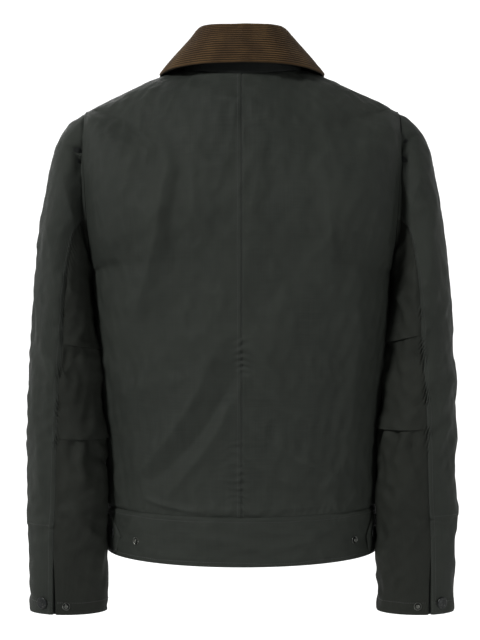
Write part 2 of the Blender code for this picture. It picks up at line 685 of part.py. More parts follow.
def build_collar():
    stations = collar_stations()
    outer_shares = spread(0, 1, 2 * WALES)
    inner_shares = spread(0, 0.16, 3) + spread(0.16, 1, 5)[1:]
    mesh = bmesh.new()

    def ring(shares, depth, wales):
        half = [leaf_section(s, shares, depth, wales) for s in stations]
        mirrored = [[Vector((-p.x, p.y, p.z)) for p in line] for line in reversed(half[1:])]
        return [[mesh.verts.new(p) for p in line] for line in mirrored + half]

    outer, inner = ring(outer_shares, 0.0, True), ring(inner_shares, CORD_CLOTH, False)
    for grid in (outer, inner):
        for a, b in zip(grid, grid[1:]):
            for k in range(len(a) - 1):
                mesh.faces.new((a[k], a[k + 1], b[k + 1], b[k]))
    for k in (0, -1):
        for a, b, c, d in zip(outer, outer[1:], inner[1:], inner):
            mesh.faces.new((a[k], b[k], c[k], d[k]))
    for k in (0, -1):
        mesh.faces.new(outer[k] + inner[k][::-1])
    bmesh.ops.recalc_face_normals(mesh, faces=mesh.faces)
    bmesh.ops.triangulate(mesh, faces=[face for face in mesh.faces if len(face.verts) > 4])
    add_object("collar_leaf", mesh, "corduroy")


def stand_grid():
    """Collar stand from the neck seam up into the fold; its columns match those of the panels."""
    grid = []
    for share in spread(0, 1, 3):
        half = []
        for station in collar_stations():
            neck, fold, _ = collar_row(station)
            out = collar_out(station)
            top = fold + out * CLOTH / 2 + Vector((0, 0, FOLD_RADIUS - CORD_CLOTH - 4 * SEAM_GAP))
            half.append(neck.lerp(top, share) + out * (0.002 * sin(pi * share)))
        grid.append([Vector((-p.x, p.y, p.z)) for p in reversed(half[1:])] + half)
    return grid


# ------------------------------------------------------------------ zip
def front_line(level):
    """The fronts' outer face on the centre line, level -1.2 being the hem."""
    if level < -1:
        z = WAIST_SEAM_Z + (level + 1) / 0.2 * (WAIST_SEAM_Z - HEM_Z)
        return panel_point(-1, 0, False, level_z=z)
    return panel_point(level, 0, False)


def front_frame(level):
    here = front_line(level)
    along = front_line(level + 0.02) - front_line(level - 0.02)
    return here, Vector((0, -along.z, along.y)).normalized()


def build_zip():
    for side in (1, -1):
        mesh = bmesh.new()
        rings = []
        for level in spread(-1.2, 0, 10) + spread(0, ZIP_TOP_LEVEL - TEETH_END, 12)[1:]:
            here, normal = front_frame(max(level, -1.18))
            here = front_line(level)
            rings.append([mesh.verts.new(here + Vector((side * x, 0, 0)) - normal * depth)
                          for x, depth in ZIP_SECTION])
        for a, b in zip(rings, rings[1:]):
            for k in range(len(a)):
                nxt = (k + 1) % len(a)
                mesh.faces.new((a[k], a[nxt], b[nxt], b[k]))
        mesh.faces.new(rings[0])
        mesh.faces.new(rings[-1][::-1])
        bmesh.ops.recalc_face_normals(mesh, faces=mesh.faces)
        add_object(f"zip_tape_{side_name(side)}", mesh, "tape")


def slider_frame():
    """Where the slider's front plate starts, the way down the zip and the way out of the front."""
    here, normal = front_frame(ZIP_TOP_LEVEL)
    down = Vector((0, -normal.z, normal.y))
    return here, down if down.z < 0 else -down, normal


def slider_block(name, half_width, start, end, low, high):
    """A block on the zip: start and end along it, low and high out of the front."""
    here, down, normal = slider_frame()
    mesh = bmesh.new()
    corners = [[here + Vector((x, 0, 0)) + down * d + normal * n
                for x, d in ((-half_width, start), (half_width, start), (half_width, end), (-half_width, end))]
               for n in (low, high)]
    bottom, top = [[mesh.verts.new(point) for point in face] for face in corners]
    mesh.faces.new(bottom)
    mesh.faces.new(top)
    for k in range(4):
        mesh.faces.new((bottom[k], bottom[(k + 1) % 4], top[(k + 1) % 4], top[k]))
    bmesh.ops.recalc_face_normals(mesh, faces=mesh.faces)
    return add_object(name, mesh, "zip_metal")


def build_slider():
    """Two plates joined by a post above the closed teeth, and an arch that holds the pull."""
    half, plate = SLIDER_HALF_WIDTH, SLIDER_PLATE
    front_low = -ZIP_SECTION[0][1] + SEAM_GAP
    back_high = -ZIP_SECTION[-1][1] - SEAM_GAP
    front_high = front_low + plate
    arch_low, arch_high = front_high + BAIL_ROOM, front_high + BAIL_ROOM + BAIL_BAR
    slider = slider_block("zip_slider", half, 0, SLIDER_LENGTH, front_low, front_high)
    sink = plate / 2
    blocks = (
        ("back_plate", half, 0, SLIDER_LENGTH, back_high - plate, back_high),
        ("post", half * 0.3, 0.0004, 0.0026, back_high - sink, front_low + sink),
        ("arch_upper_leg", BAIL_HALF_WIDTH, BAIL_TOP, BAIL_TOP + BAIL_BAR, front_high - sink, arch_high),
        ("arch_lower_leg", BAIL_HALF_WIDTH, BAIL_BOTTOM - BAIL_BAR, BAIL_BOTTOM, front_high - sink, arch_high),
        ("arch_bar", BAIL_HALF_WIDTH * 0.999, BAIL_TOP + BAIL_BAR / 2, BAIL_BOTTOM - BAIL_BAR / 2,
         arch_low, arch_high * 0.999),
    )
    for block in blocks:
        cutter = slider_block(*block)
        cutter.display_type = "WIRE"
        cutter.hide_render = True
        joined = slider.modifiers.new(block[0], "BOOLEAN")
        joined.operation = "UNION"
        joined.object = cutter
    return front_high + BAIL_ROOM / 2


def build_pull(axis_height):
    """Flat tab with an eye round the arch; its hinge is the bar above the eye."""
    here, down, normal = slider_frame()
    axis_down = (BAIL_TOP + BAIL_BOTTOM) / 2
    centre = here + down * axis_down + normal * axis_height
    half, eye = PULL_HALF_WIDTH, PULL_EYE_HALF_WIDTH
    waist = half * 0.72
    outline = ((-half * 0.8, -PULL_BAR), (half * 0.8, -PULL_BAR), (half * 0.9, PULL_EYE_END), (waist, 0.010),
               (half, PULL_END - 0.004), (half * 0.6, PULL_END), (-half * 0.6, PULL_END),
               (-half, PULL_END - 0.004), (-waist, 0.010), (-half * 0.9, PULL_EYE_END))
    hole = ((-eye * 0.98, PULL_BAR), (eye * 0.98, PULL_BAR), (eye, PULL_EYE_END * 0.7), (eye, PULL_EYE_END * 0.86),
            (eye * 0.9, PULL_EYE_END), (eye * 0.5, PULL_EYE_END + 0.0004), (-eye * 0.5, PULL_EYE_END + 0.0004),
            (-eye * 0.9, PULL_EYE_END), (-eye, PULL_EYE_END * 0.86), (-eye, PULL_EYE_END * 0.7))
    mesh = bmesh.new()
    rings = []
    for loop, n in ((outline, 0.5), (hole, 0.5), (hole, -0.5), (outline, -0.5)):
        rings.append([mesh.verts.new(centre + Vector((x, 0, 0)) + down * d + normal * n * PULL_CLOTH)
                      for x, d in loop])
    for a, b in zip(rings, rings[1:] + rings[:1]):
        for k in range(len(a)):
            nxt = (k + 1) % len(a)
            mesh.faces.new((a[k], a[nxt], b[nxt], b[k]))
    bmesh.ops.recalc_face_normals(mesh, faces=mesh.faces)
    bmesh.ops.translate(mesh, verts=mesh.verts, vec=-centre)
    pull = add_object("zip_pull", mesh, "zip_metal")
    pull.location = centre


# ------------------------------------------------------------------ the jacket
def main():
    for thing in list(bpy.data.objects):
        bpy.data.objects.remove(thing)
    build_shell()
    build_waistband()
    build_tabs()
    build_cuffs()
    build_collar()
    build_zip()
    build_pull(build_slider())


main()
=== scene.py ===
"""Work jacket with a corduroy collar, seen from behind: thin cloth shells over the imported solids' form.

Metres, +Z up, the front faces -Y, the wearer's left is +X. The body and sleeve surfaces are worked out from
the same tables as the solids, at a finer step, and then get their folds, puckers, seams and stitches.
"""
from collections import namedtuple

import bpy
import numpy as np
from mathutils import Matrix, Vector


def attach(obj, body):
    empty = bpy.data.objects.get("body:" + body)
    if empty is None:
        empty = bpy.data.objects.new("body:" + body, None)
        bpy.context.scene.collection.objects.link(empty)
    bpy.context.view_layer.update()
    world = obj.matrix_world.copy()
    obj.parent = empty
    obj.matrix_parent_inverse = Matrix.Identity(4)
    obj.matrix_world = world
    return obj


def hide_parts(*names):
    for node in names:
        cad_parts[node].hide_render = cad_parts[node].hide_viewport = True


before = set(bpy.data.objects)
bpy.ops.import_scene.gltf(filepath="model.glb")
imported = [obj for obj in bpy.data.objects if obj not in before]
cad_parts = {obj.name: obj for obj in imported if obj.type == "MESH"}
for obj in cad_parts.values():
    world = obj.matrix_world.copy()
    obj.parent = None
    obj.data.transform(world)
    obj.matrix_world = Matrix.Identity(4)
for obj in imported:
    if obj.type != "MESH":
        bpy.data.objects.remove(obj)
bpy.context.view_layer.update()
scene = bpy.context.scene

# ------------------------------------------------------------------ sizes shared with the solids
CLOTH, BAND_CLOTH, CORD_CLOTH, TAB_CLOTH = 0.0018, 0.0024, 0.0022, 0.0020
SEAM_GAP, PROUD = 0.0003, 0.0005
TRIM, SEAM_LAP = 0.00005, 0.0006    # at a seam a shell's outside stops short, and its inside runs on past it
WAIST_SEAM_Z, HEM_Z, ARMPIT_Z = -0.5820, -0.6440, -0.2750
NECK_POINT = np.array((0.080, 0.000, 0.000))
SHOULDER_RISE = 0.0030
FRONT_EDGE_X = 0.0060
FRONT_SEAM = 236
VENT_PLACE, VENT_PART, CUFF_PLACE = 11.1, 0.0044, 12    # where the vent starts, how far it parts, the hem


def table(row, rows):
    return tuple(row(*numbers) for numbers in rows)


Body = namedtuple("Body", "z half_width side_y back_y front_y handle")
BODY = table(Body, (
    (-0.644, 0.183, -0.02, 0.13, -0.154, 0.56), (-0.582, 0.1836, -0.02, 0.131, -0.1535, 0.56),
    (-0.505, 0.1857, -0.019, 0.129, -0.1515, 0.57), (-0.453, 0.188, -0.017, 0.1285, -0.1505, 0.59),
    (-0.4, 0.1911, -0.014, 0.1295, -0.1495, 0.62), (-0.348, 0.194, -0.009, 0.1312, -0.148, 0.665),
    (-0.314, 0.1956, -0.004, 0.1323, -0.1464, 0.69), (-0.275, 0.197, 0, 0.1335, -0.144, 0.705),
))
Yoke = namedtuple("Yoke", "level mid_z mid_y mid_reach way_x way_y way_z edge_reach")
BACK_YOKE = table(Yoke, (
    (0, -0.275, 0.1335, 0.139, 0, -1, 0, 0.094), (0.12, -0.255, 0.1341, 0.1388, 0.01, -1, -0.09, 0.093),
    (0.3, -0.225, 0.135, 0.135, 0.2, -0.97, -0.13, 0.087),
    (0.5, -0.19, 0.1355, 0.127, 0.46, -0.88, 0.04, 0.078),
    (0.75, -0.148, 0.1328, 0.116, 0.5, -0.86, 0.06, 0.068),
    (1, -0.108, 0.125, 0.103, 0.36, -0.91, -0.16, 0.058),
    (1.5, -0.055, 0.1045, 0.07, 0.12, -0.98, -0.02, 0.056), (2, -0.02, 0.085, 0.046, 0, -0.99, 0.12, 0.044),
))
FRONT_YOKE = table(Yoke, (
    (0, -0.275, -0.144, 0.135, 0, 1, 0, 0.1015), (0.12, -0.258, -0.1433, 0.1345, 0.01, 1, -0.08, 0.1),
    (0.3, -0.234, -0.1421, 0.13, 0.2, 0.97, -0.1, 0.093),
    (0.5, -0.207, -0.1402, 0.121, 0.46, 0.88, 0.08, 0.082),
    (0.75, -0.175, -0.135, 0.109, 0.48, 0.88, 0.1, 0.07), (1, -0.145, -0.126, 0.095, 0.34, 0.93, -0.15, 0.06),
    (1.5, -0.11, -0.109, 0.066, 0.1, 0.98, 0.1, 0.06), (2, -0.085, -0.095, 0.042, 0, 0.93, 0.36, 0.055),
))
Ring = namedtuple("Ring", "place outer_x outer_z inner_x inner_z half_depth mid_y rear_seam")
SLEEVE = table(Ring, (
    (0, 0.209, -0.0576, 0.197, -0.275, 0.072, 0, 112), (1, 0.222, -0.066, 0.1995, -0.281, 0.0745, 0.001, 111),
    (2, 0.2365, -0.081, 0.2005, -0.286, 0.077, 0.002, 110),
    (3, 0.2475, -0.102, 0.2008, -0.291, 0.079, 0.003, 109),
    (4, 0.2575, -0.142, 0.2005, -0.299, 0.08, 0.005, 108),
    (5, 0.264, -0.183, 0.1995, -0.309, 0.079, 0.008, 106),
    (6, 0.2742, -0.268, 0.1967, -0.334, 0.075, 0.013, 102),
    (7, 0.2798, -0.358, 0.1925, -0.376, 0.068, 0.017, 98),
    (8, 0.2818, -0.425, 0.1885, -0.433, 0.061, 0.024, 90),
    (9, 0.2828, -0.488, 0.1845, -0.492, 0.054, 0.028, 85),
    (10, 0.2826, -0.56, 0.1798, -0.562, 0.0465, 0.032, 80),
    (11, 0.2812, -0.635, 0.1776, -0.635, 0.0395, 0.035, 74),
    (12, 0.279, -0.717, 0.1774, -0.717, 0.034, 0.037, 72),
))
Collar = namedtuple("Collar", "station fold_x fold_y fold_z edge_x edge_y edge_z")
COLLAR = table(Collar, (
    (0, 0, 0.074, 0.039, 0, 0.099, -0.008), (1, 0.03, 0.067, 0.04, 0.046, 0.091, -0.008),
    (2, 0.052, 0.042, 0.042, 0.086, 0.062, -0.008), (3, 0.06, 0.002, 0.042, 0.111, 0.004, -0.0085),
    (4, 0.056, -0.036, 0.028, 0.108, -0.048, -0.032), (5, 0.04, -0.064, 0.002, 0.087, -0.084, -0.062),
    (6, 0.022, -0.079, -0.018, 0.067, -0.108, -0.093), (7, 0.006, -0.086, -0.028, 0.047, -0.122, -0.119),
))
SHOULDER_STATION, LAST_STATION = 3, 7
FOLD_RADIUS, ROLL = 0.0060, np.pi * 0.80
WALES, WALE_RISE = 22, 0.0013

Tab = namedtuple("Tab", "side top_x tip_x bottom_x snap_x stud_x")
TABS = (Tab(1, 0.1683, 0.1556, 0.1625, 0.1675, 0.1352), Tab(-1, 0.1700, 0.1610, 0.1645, 0.1700, 0.1440))
TAB_TOP_Z, TAB_TIP_Z, TAB_BOTTOM_Z = -0.5925, -0.6170, -0.6400
SNAP_Z, WAIST_STUD_Z = -0.6140, -0.6190
SNAP_RADIUS, SNAP_RISE, STUD_RADIUS, STUD_RISE = 0.0075, 0.0024, 0.0052, 0.0026
CUFF_SNAP, CUFF_STUD = (11.82, 54), (11.86, 92)

# ------------------------------------------------------------------ folds and seams
# A fold is a ridge (or a trough, if its rise is below zero) between two points seen from behind or from the
# front; bow bends it sideways, left and right are its widths on either side of the crest.
FOLD_GAIN = 1.85
Fold = namedtuple("Fold", "x0 z0 x1 z1 bow left right rise")


def folds(*rows):
    """Folds whose numbers are given in millimetres."""
    return table(Fold, ([number / 1000 for number in row] for row in rows))


BACK_FOLDS = folds(
    (90, -135, 104, -215, 2, 16, 12, 3), (104, -200, 140, -340, -6, 20, 14, 3.8),
    (78, -150, 90, -260, 3, 10, 16, -1.6), (131, -530, 30, -362, 12, 13, 18, 4),
    (112, -538, 12, -410, 10, 9, 11, -2.2), (92, -555, 14, -440, 6, 8, 10, 2.2),
    (150, -480, 120, -380, 4, 14, 10, 2.2), (32, -53, 1, -56, 1, 3, 4, 0.8),
    (30, -82, 1, -80, -1, 4, 3, 0.9), (-2, -86, -34, -80, 2, 4, 4, 0.7),
    (70, -120, 20, -145, 4, 9, 12, 1.2), (-8, -360, -64, -425, 4, 9, 12, 2),
    (-6, -405, -40, -430, 2, 6, 8, 1.2), (-30, -432, -108, -470, 4, 9, 14, 1.6),
    (-8, -462, -112, -530, 8, 11, 16, 3), (-10, -510, -75, -545, 4, 9, 10, 1.4),
    (-100, -140, -112, -290, -4, 20, 18, 2.6), (-20, -150, -12, -220, 2, 6, 7, 0.9),
    (-150, -330, -140, -520, 3, 14, 14, 2), (118, -564, 50, -576, 2, 3.5, 5, 2.2),
    (60, -572, -120, -570, 1, 6, 6, 1.2),
)
FRONT_FOLDS = folds(
    (95, -160, 124, -310, -5, 18, 14, 3.6), (126, -545, 36, -395, 10, 13, 17, 3.2),
    (104, -550, 20, -440, 8, 10, 13, -2.2), (150, -500, 130, -350, 4, 14, 12, 2),
    (60, -180, 30, -250, 3, 10, 13, 1.4), (-95, -165, -118, -300, 5, 16, 18, 3.4),
    (-130, -535, -42, -415, -10, 16, 13, 3.2), (-105, -552, -30, -455, -6, 12, 10, -2),
    (-150, -330, -140, -500, 3, 14, 14, 2), (-40, -300, -70, -360, 3, 10, 10, 1.2),
    (120, -570, 20, -572, 1, 5, 6, 1.6), (-20, -570, -120, -571, 1, 6, 6, 1.4),
)
# Folds of a sleeve as it lies seen from behind: rear half, then front half
LEFT_REAR_FOLDS = folds(
    (225, -111.5, 200, -112.5, 1, 3.8, 3.4, -3), (217, -119, 199, -135, 1, 4, 4.4, -3),
    (220, -117, 199, -122.5, 1, 4, 4, 1.8), (214, -135, 199, -148, 1, 4, 4.4, -1.6),
    (235, -100, 212, -106, 3, 7, 6, 1.6), (230, -150, 208, -230, 3, 8, 10, 2),
    (252, -210, 236, -330, -3, 10, 12, 1.8), (260, -330, 240, -420, 4, 9, 10, 2.2),
    (264, -460, 256, -570, 3, 9, 10, 2), (245, -620, 212, -580, 2, 7, 8, 1.8),
    (230, -650, 198, -610, 2, 6, 8, 1.6), (218, -489, 216, -530, 1, 4, 3.5, -2.4),
    (200, -489, 182, -526, 2, 5, 4, -2.6), (210, -495, 206, -550, 2, 8, 7, 2.4),
    (214, -372, 208, -410, 2, 6, 4.5, -1.8), (196, -378, 188, -420, 2, 6, 6, 2.2),
    (216, -360, 198, -315, 3, 7, 5, 2.2), (208, -358, 195, -295, 2, 4.5, 4.5, -2),
    (232, -280, 216, -306, 2, 6, 5, 2), (236, -350, 222, -370, 2, 5, 5, 2.2),
    (242, -390, 225, -412, 2, 6, 5, 2), (215, -585, 190, -618, 2, 5, 6, 1.6),
    (272, -595, 236, -596, 0, 3, 4, 1.2), (276, -605, 248, -606, 0, 3, 3, 0.9),
)
RIGHT_REAR_FOLDS = folds(
    (-209, -101, -227, -94, 1, 4, 4, -2.8), (-202, -113, -218, -112, 2, 5, 4, 2.2),
    (-201, -123, -216, -128, 1, 4, 4, -2), (-204, -135, -218, -190, 2, 7, 6, 2.2),
    (-230, -150, -210, -240, 3, 9, 8, 2), (-248, -200, -240, -320, 3, 12, 10, 1.8),
    (-273, -415, -254, -460, 3, 8, 7, 2.4), (-270, -470, -250, -515, 2, 8, 7, 1.6),
    (-242, -552, -224, -550, 0, 3, 3, 1), (-218, -530, -198, -620, 3, 8, 8, 1.8),
    (-230, -595, -274, -592, 1, 4, 3, 1.2), (-212, -635, -230, -600, 1, 6, 5, 1.4),
    (-236, -616, -260, -612, 1, 4, 3, 0.9), (-199, -479, -190, -530, 2, 4, 5, -2.4),
    (-211, -482, -208, -540, 2, 7, 8, 2.2), (-220, -480, -224, -520, 2, 4, 4, -2),
    (-205, -356, -196, -400, 2, 5, 6, -1.8), (-214, -356, -212, -410, 2, 6, 6, 2),
    (-215, -342, -201, -295, 2, 6, 5, 2), (-206, -338, -196, -280, 2, 4.5, 4.5, -1.8),
    (-235, -290, -220, -315, 2, 6, 5, 2), (-240, -345, -226, -362, 2, 5, 5, 2),
    (-206, -560, -188, -590, 2, 5, 6, 1.6),
)
FRONT_SLEEVE_FOLDS = folds(
    (224, -110, 201, -125, 2, 6, 5, 2.4), (232, -145, 206, -220, 3, 9, 8, 2.2),
    (256, -290, 212, -340, 5, 9, 11, 2.6), (260, -350, 208, -390, 4, 8, 10, 2.8),
    (264, -420, 206, -440, 3, 8, 9, 2.4), (262, -490, 210, -510, 3, 9, 9, 1.6),
    (256, -615, 210, -585, 2, 7, 8, 1.6),
)
LEFT_PLEATS, RIGHT_PLEATS = (6.97, 8.97), (6.78, 8.78)
PLEAT_RISE, PLEAT_RUN = 0.0042, 0.50
GATHER_RISES, GATHER_RUNS = (0.0022, 0.0040), (0.55, 0.90)

# Stitches: length of one and of its step, and its half width
STITCH, STITCH_STEP, THREAD = 0.0024, 0.0032, 0.00038


# ------------------------------------------------------------------ numbers
def read_table(rows, place):
    """A row of the table at any place: a smooth run through the rows, with no overshoot."""
    data = np.array(rows, float)
    places = data[:, 0]
    order = 1 if places[-1] > places[0] else -1
    i = int(np.clip(np.searchsorted(places * order, place * order, "right") - 1, 0, len(rows) - 2))
    rise = np.diff(data, axis=0) / np.diff(places)[:, None]
    span = places[i + 1] - places[i]
    t = float(np.clip((place - places[i]) / span, 0, 1))

    def slope(k):
        if k in (0, len(rows) - 1):
            return rise[min(k, len(rise) - 1)]
        before, after = rise[k - 1], rise[k]
        same = before * after > 0
        return np.where(same, 2 * before * after / np.where(same, before + after, 1), 0)

    a, b = data[i], data[i + 1]
    bend = slope(i) * t * (1 - t) ** 2 - slope(i + 1) * t * t * (1 - t)
    values = a + (b - a) * t * t * (3 - 2 * t) + span * bend
    values[0] = place
    return type(rows[0])(*values)


def bezier(a, b, c, d, t):
    t = np.asarray(t, float)[..., None]
    s = 1 - t
    return a * s ** 3 + b * (3 * s * s * t) + c * (3 * s * t * t) + d * t ** 3


def unit(v):
    return v / np.maximum(np.linalg.norm(v, axis=-1, keepdims=True), 1e-12)


def ease(t):
    return t * t * (3 - 2 * t)


def unease(value):
    return 0.5 - np.sin(np.arcsin(1 - 2 * value) / 3)


def smooth(low, high, value):
    return ease(np.clip((value - low) / (high - low), 0, 1))


def bell(distance, width):
    return np.exp(-(distance / width) ** 2)


def clear_of(*edges):
    """Zero at each edge given by its distances, and one beyond the edge's reach."""
    return np.prod([smooth(0, reach, distance) for distance, reach in edges], axis=0)


def at(distance, run, values):
    """A row of vectors read at a distance along its run."""
    return np.array([np.interp(distance, run, values[:, axis]) for axis in range(3)])


def graded(steps, first, last, edge=0.0022):
    """Shares from 0 to 1 with finer steps beside an end that is a seam."""
    fine = edge * np.array((0.35, 0.8, 1.4, 2.2, 3.4, 5.0, 7.0))
    low = np.concatenate(([0], fine)) if first else np.array([0.0])
    high = 1 - np.concatenate((fine[::-1], [0])) if last else np.array([1.0])
    middle = np.linspace(low[-1], high[0], steps + 1)[1:-1]
    return np.concatenate((low, middle, high))


def ripple(points, scale, seed, stretch=(1, 1, 1)):
    """Smooth unevenness of about that scale, from -2 to 2 and mostly within 1."""
    waves = 18
    rng = np.random.default_rng(seed)
    total = np.zeros(points.shape[:-1])
    for _ in range(waves):
        way = rng.normal(size=3)
        way *= 2 * np.pi / (scale * np.linalg.norm(way)) * rng.uniform(0.7, 1.5)
        total += np.sin(points / np.array(stretch) @ way + rng.uniform(0, 2 * np.pi))
    return total * np.sqrt(2 / waves)


def fold_height(points, folds):
    """Height of the folds at points, seen along Y."""
    height = np.zeros(points.shape[:-1])
    plane = points[..., (0, 2)]
    for fold in folds:
        start, end = np.array((fold.x0, fold.z0)), np.array((fold.x1, fold.z1))
        along = end - start
        length = np.linalg.norm(along)
        side = np.array((-along[1], along[0])) / length
        share = (plane - start) @ along / length ** 2
        held = np.clip(share, 0, 1)
        beyond = (share - held) * length
        away = (plane - start) @ side - fold.bow * 4 * held * (1 - held)
        width = np.where(away > 0, fold.left, fold.right)
        far = np.sqrt((away / width) ** 2 + (beyond / (fold.left + fold.right) * 2) ** 2)
        height += fold.rise * np.sin(np.pi * (0.1 + 0.8 * held)) ** 0.6 * np.exp(-far ** 1.45)
    return height * FOLD_GAIN


# ------------------------------------------------------------------ surfaces
def sleeve_ring(place, angles):
    """Points round the left sleeve: angle 0 is outermost, 90 faces back, 180 is innermost."""
    ring = read_table(SLEEVE, place)
    outer = np.array((ring.outer_x, ring.mid_y, ring.outer_z))
    inner = np.array((ring.inner_x, ring.mid_y, ring.inner_z))
    turn = np.radians(np.asarray(angles, float))[..., None]
    deep = np.array((0, ring.half_depth, 0))
    return (outer + inner) / 2 + (outer - inner) / 2 * np.cos(turn) + deep * np.sin(turn)


def shoulder_point(level):
    share = (level - 1) ** 2 * (3 - level)
    tip = sleeve_ring(0, 0)
    return tip + (NECK_POINT - tip) * share + np.array((0, 0, SHOULDER_RISE * np.sin(np.pi * share)))


def panel_row(level, shares, back, start_x=0.0, level_z=None):
    """A row of the back or the front, from the centre line to the side, armhole or shoulder."""
    if level < 0 or level_z is not None:
        z = level_z if level_z is not None else ARMPIT_Z + level * (ARMPIT_Z - WAIST_SEAM_Z)
        ring = read_table(BODY, z)
        mid_y = ring.back_y if back else ring.front_y
        centre = np.array((start_x, mid_y, z))
        edge = np.array((ring.half_width, ring.side_y, z))
        near = centre + np.array(((ring.half_width - start_x) * ring.handle, 0, 0))
        far = edge + np.array((0, (mid_y - ring.side_y) * ring.handle, 0))
        return bezier(centre, near, far, edge, shares)
    yoke = read_table(BACK_YOKE if back else FRONT_YOKE, level)
    centre = np.array((start_x, yoke.mid_y, yoke.mid_z))
    turn = 180 * (1 - ease(level)) * (1 if back else -1)
    edge = sleeve_ring(0, turn) if level <= 1 else shoulder_point(level)
    near = centre + np.array((yoke.mid_reach, 0, 0))
    far = edge - unit(np.array((yoke.way_x, yoke.way_y, yoke.way_z))) * yoke.edge_reach
    return bezier(centre, near, far, edge, shares)


def mirrored(grid, side):
    return grid * np.array((side, 1, 1))


def normals_of(grid, away_from):
    """Unit normals of a grid of points, turned away from a point or a row of points inside."""
    down = np.gradient(grid, axis=0)
    across = np.gradient(grid, axis=1)
    normals = unit(np.cross(across, down))
    outward = np.sum(normals * (grid - away_from))
    return normals if outward > 0 else -normals


def run_of(grid, axis):
    """Distance along the grid from its first point, by rows (axis 1) or by columns (axis 0)."""
    steps = np.linalg.norm(np.diff(grid, axis=axis), axis=-1)
    start = np.zeros_like(np.take(steps, [0], axis))
    return np.concatenate((start, np.cumsum(steps, axis)), axis)


def length_along(points):
    return np.concatenate(([0], np.cumsum(np.linalg.norm(np.diff(points, axis=0), axis=1))))


class Distances:
    """How far each point of a grid is from the grid's four edges, and how far along."""

    def __init__(self, grid):
        self.across, self.down = run_of(grid, 1), run_of(grid, 0)
        self.first_column, self.last_column = self.across, self.across[:, -1:] - self.across
        self.first_row, self.last_row = self.down, self.down[-1:] - self.down
        self.nearest = np.minimum.reduce((self.first_column, self.last_column, self.first_row, self.last_row))


SEAM_DIP, SEAM_WIDTH, LINE_DIP, LINE_WIDTH = 0.0006, 0.0011, 0.00034, 0.0009


def seam(distance, lines=(), swell=0.00045):
    """Profile beside a seam: it dips into the seam, and the layers under topstitched lines stand up."""
    height = -SEAM_DIP * bell(distance, SEAM_WIDTH)
    if lines:
        last = max(lines)
        height += swell * (1 - smooth(last - 0.0003, last + 0.0022, distance)) * smooth(0, 0.0016, distance)
        for line in lines:
            height -= LINE_DIP * bell(distance - line, LINE_WIDTH)
    return height


def pucker(distance, run, points, pitch, reach, rise, seed):
    """Short ridges across a seam where its thread pulls."""
    phase = 2 * np.pi * run / pitch + 2.2 * ripple(points, pitch * 4, seed)
    strength = np.clip(0.70 + 0.6 * ripple(points, pitch * 5, seed + 1), 0.05, 1.4)
    return rise * strength * np.sin(phase) * np.exp(-(distance / reach) ** 1.2)


SOFT_RISE, MIDDLING_RISE, FINE_RISE, CREASE_RISE = 0.0007, 0.00045, 0.00030, 0.017


def crinkle(points, seed, stretch=(1, 1, 1.8)):
    """Soft unevenness of waxed cloth, with a few finer creases in patches of it."""
    soft = ripple(points, 0.070, seed, stretch)
    fine = ripple(points, 0.018, seed + 1, stretch)
    patch = smooth(-0.2, 1.0, ripple(points, 0.10, seed + 3))
    creases = 0
    for k, scale in enumerate((0.050, 0.026)):
        ridge = 1 - np.sqrt(ripple(points, scale, seed + 4 + k, stretch) ** 2 + 0.01)
        creases = creases + scale * np.clip(ridge, -0.6, 1)
    middling = ripple(points, 0.034, seed + 6, stretch) * (0.4 + 0.6 * patch)
    return SOFT_RISE * soft + MIDDLING_RISE * middling + FINE_RISE * fine + CREASE_RISE * creases * patch


# ------------------------------------------------------------------ materials
def rgb(*values):
    """sRGB values of 0 to 255 as linear ones."""
    v = np.array(values, float) / 255
    return tuple(float(x) for x in np.where(v <= 0.04045, v / 12.92, ((v + 0.055) / 1.055) ** 2.4)) + (1.0,)


PLAIN = {"Roughness": 0.6, "Metallic": 0.0, "Specular IOR Level": 0.5, "Sheen Weight": 0.0,
         "Sheen Roughness": 0.4, "Sheen Tint": (1, 1, 1, 1)}


class Shader:
    """A Principled material with a small set of node helpers."""

    def __init__(self, name, values):
        self.material = bpy.data.materials.new(name)
        self.material.use_nodes = True
        self.tree = self.material.node_tree
        self.surface({**PLAIN, **values})

    def surface(self, values):
        self.fill(self.tree.nodes["Principled BSDF"], values)
        return self.material

    def fill(self, node, values):
        """Set a node's sockets to numbers and colours, or link them to other nodes' outputs."""
        for socket, value in values.items():
            if isinstance(value, bpy.types.NodeSocket):
                self.tree.links.new(value, node.inputs[socket])
            else:
                node.inputs[socket].default_value = value

    def node(self, kind, values, **settings):
        made = self.tree.nodes.new(f"ShaderNode{kind}")
        for name, value in settings.items():
            setattr(made, name, value)
        self.fill(made, values)
        return made.outputs

    def math(self, operation, a, b=0.0, clamp=False):
        return self.node("Math", {0: a, 1: b}, operation=operation, use_clamp=clamp)[0]

    def times(self, a, b, clamp=False):
        return self.math("MULTIPLY", a, b, clamp)

    def place(self, uv=False):
        return self.node("TexCoord", {})["UV" if uv else "Object"]

    def split(self, vector):
        return self.node("SeparateXYZ", {0: vector})

    def noise(self, scale, detail=3.0, rough=0.55, stretch=None, uv=False):
        vector = self.place(uv)
        if stretch:
            vector = self.node("Mapping", {"Scale": stretch, "Vector": vector})[0]
        values = {"Vector": vector, "Scale": scale, "Detail": detail, "Roughness": rough}
        return self.node("TexNoise", values)["Fac"]

    def ramp(self, value, low, high, out_low=0.0, out_high=1.0):
        values = {"Value": value, "From Min": low, "From Max": high, "To Min": out_low, "To Max": out_high}
        return self.node("MapRange", values, interpolation_type="SMOOTHSTEP")["Result"]

    def mix(self, share, a, b):
        return self.node("Mix", {0: share, 6: a, 7: b}, data_type="RGBA")[2]

    def attribute(self, name):
        return self.node("Attribute", {}, attribute_name=name)["Fac"]

    def bump(self, height, distance, strength, under=None):
        values = {"Distance": distance, "Strength": strength, "Height": height}
        return self.node("Bump", values if under is None else {**values, "Normal": under})["Normal"]


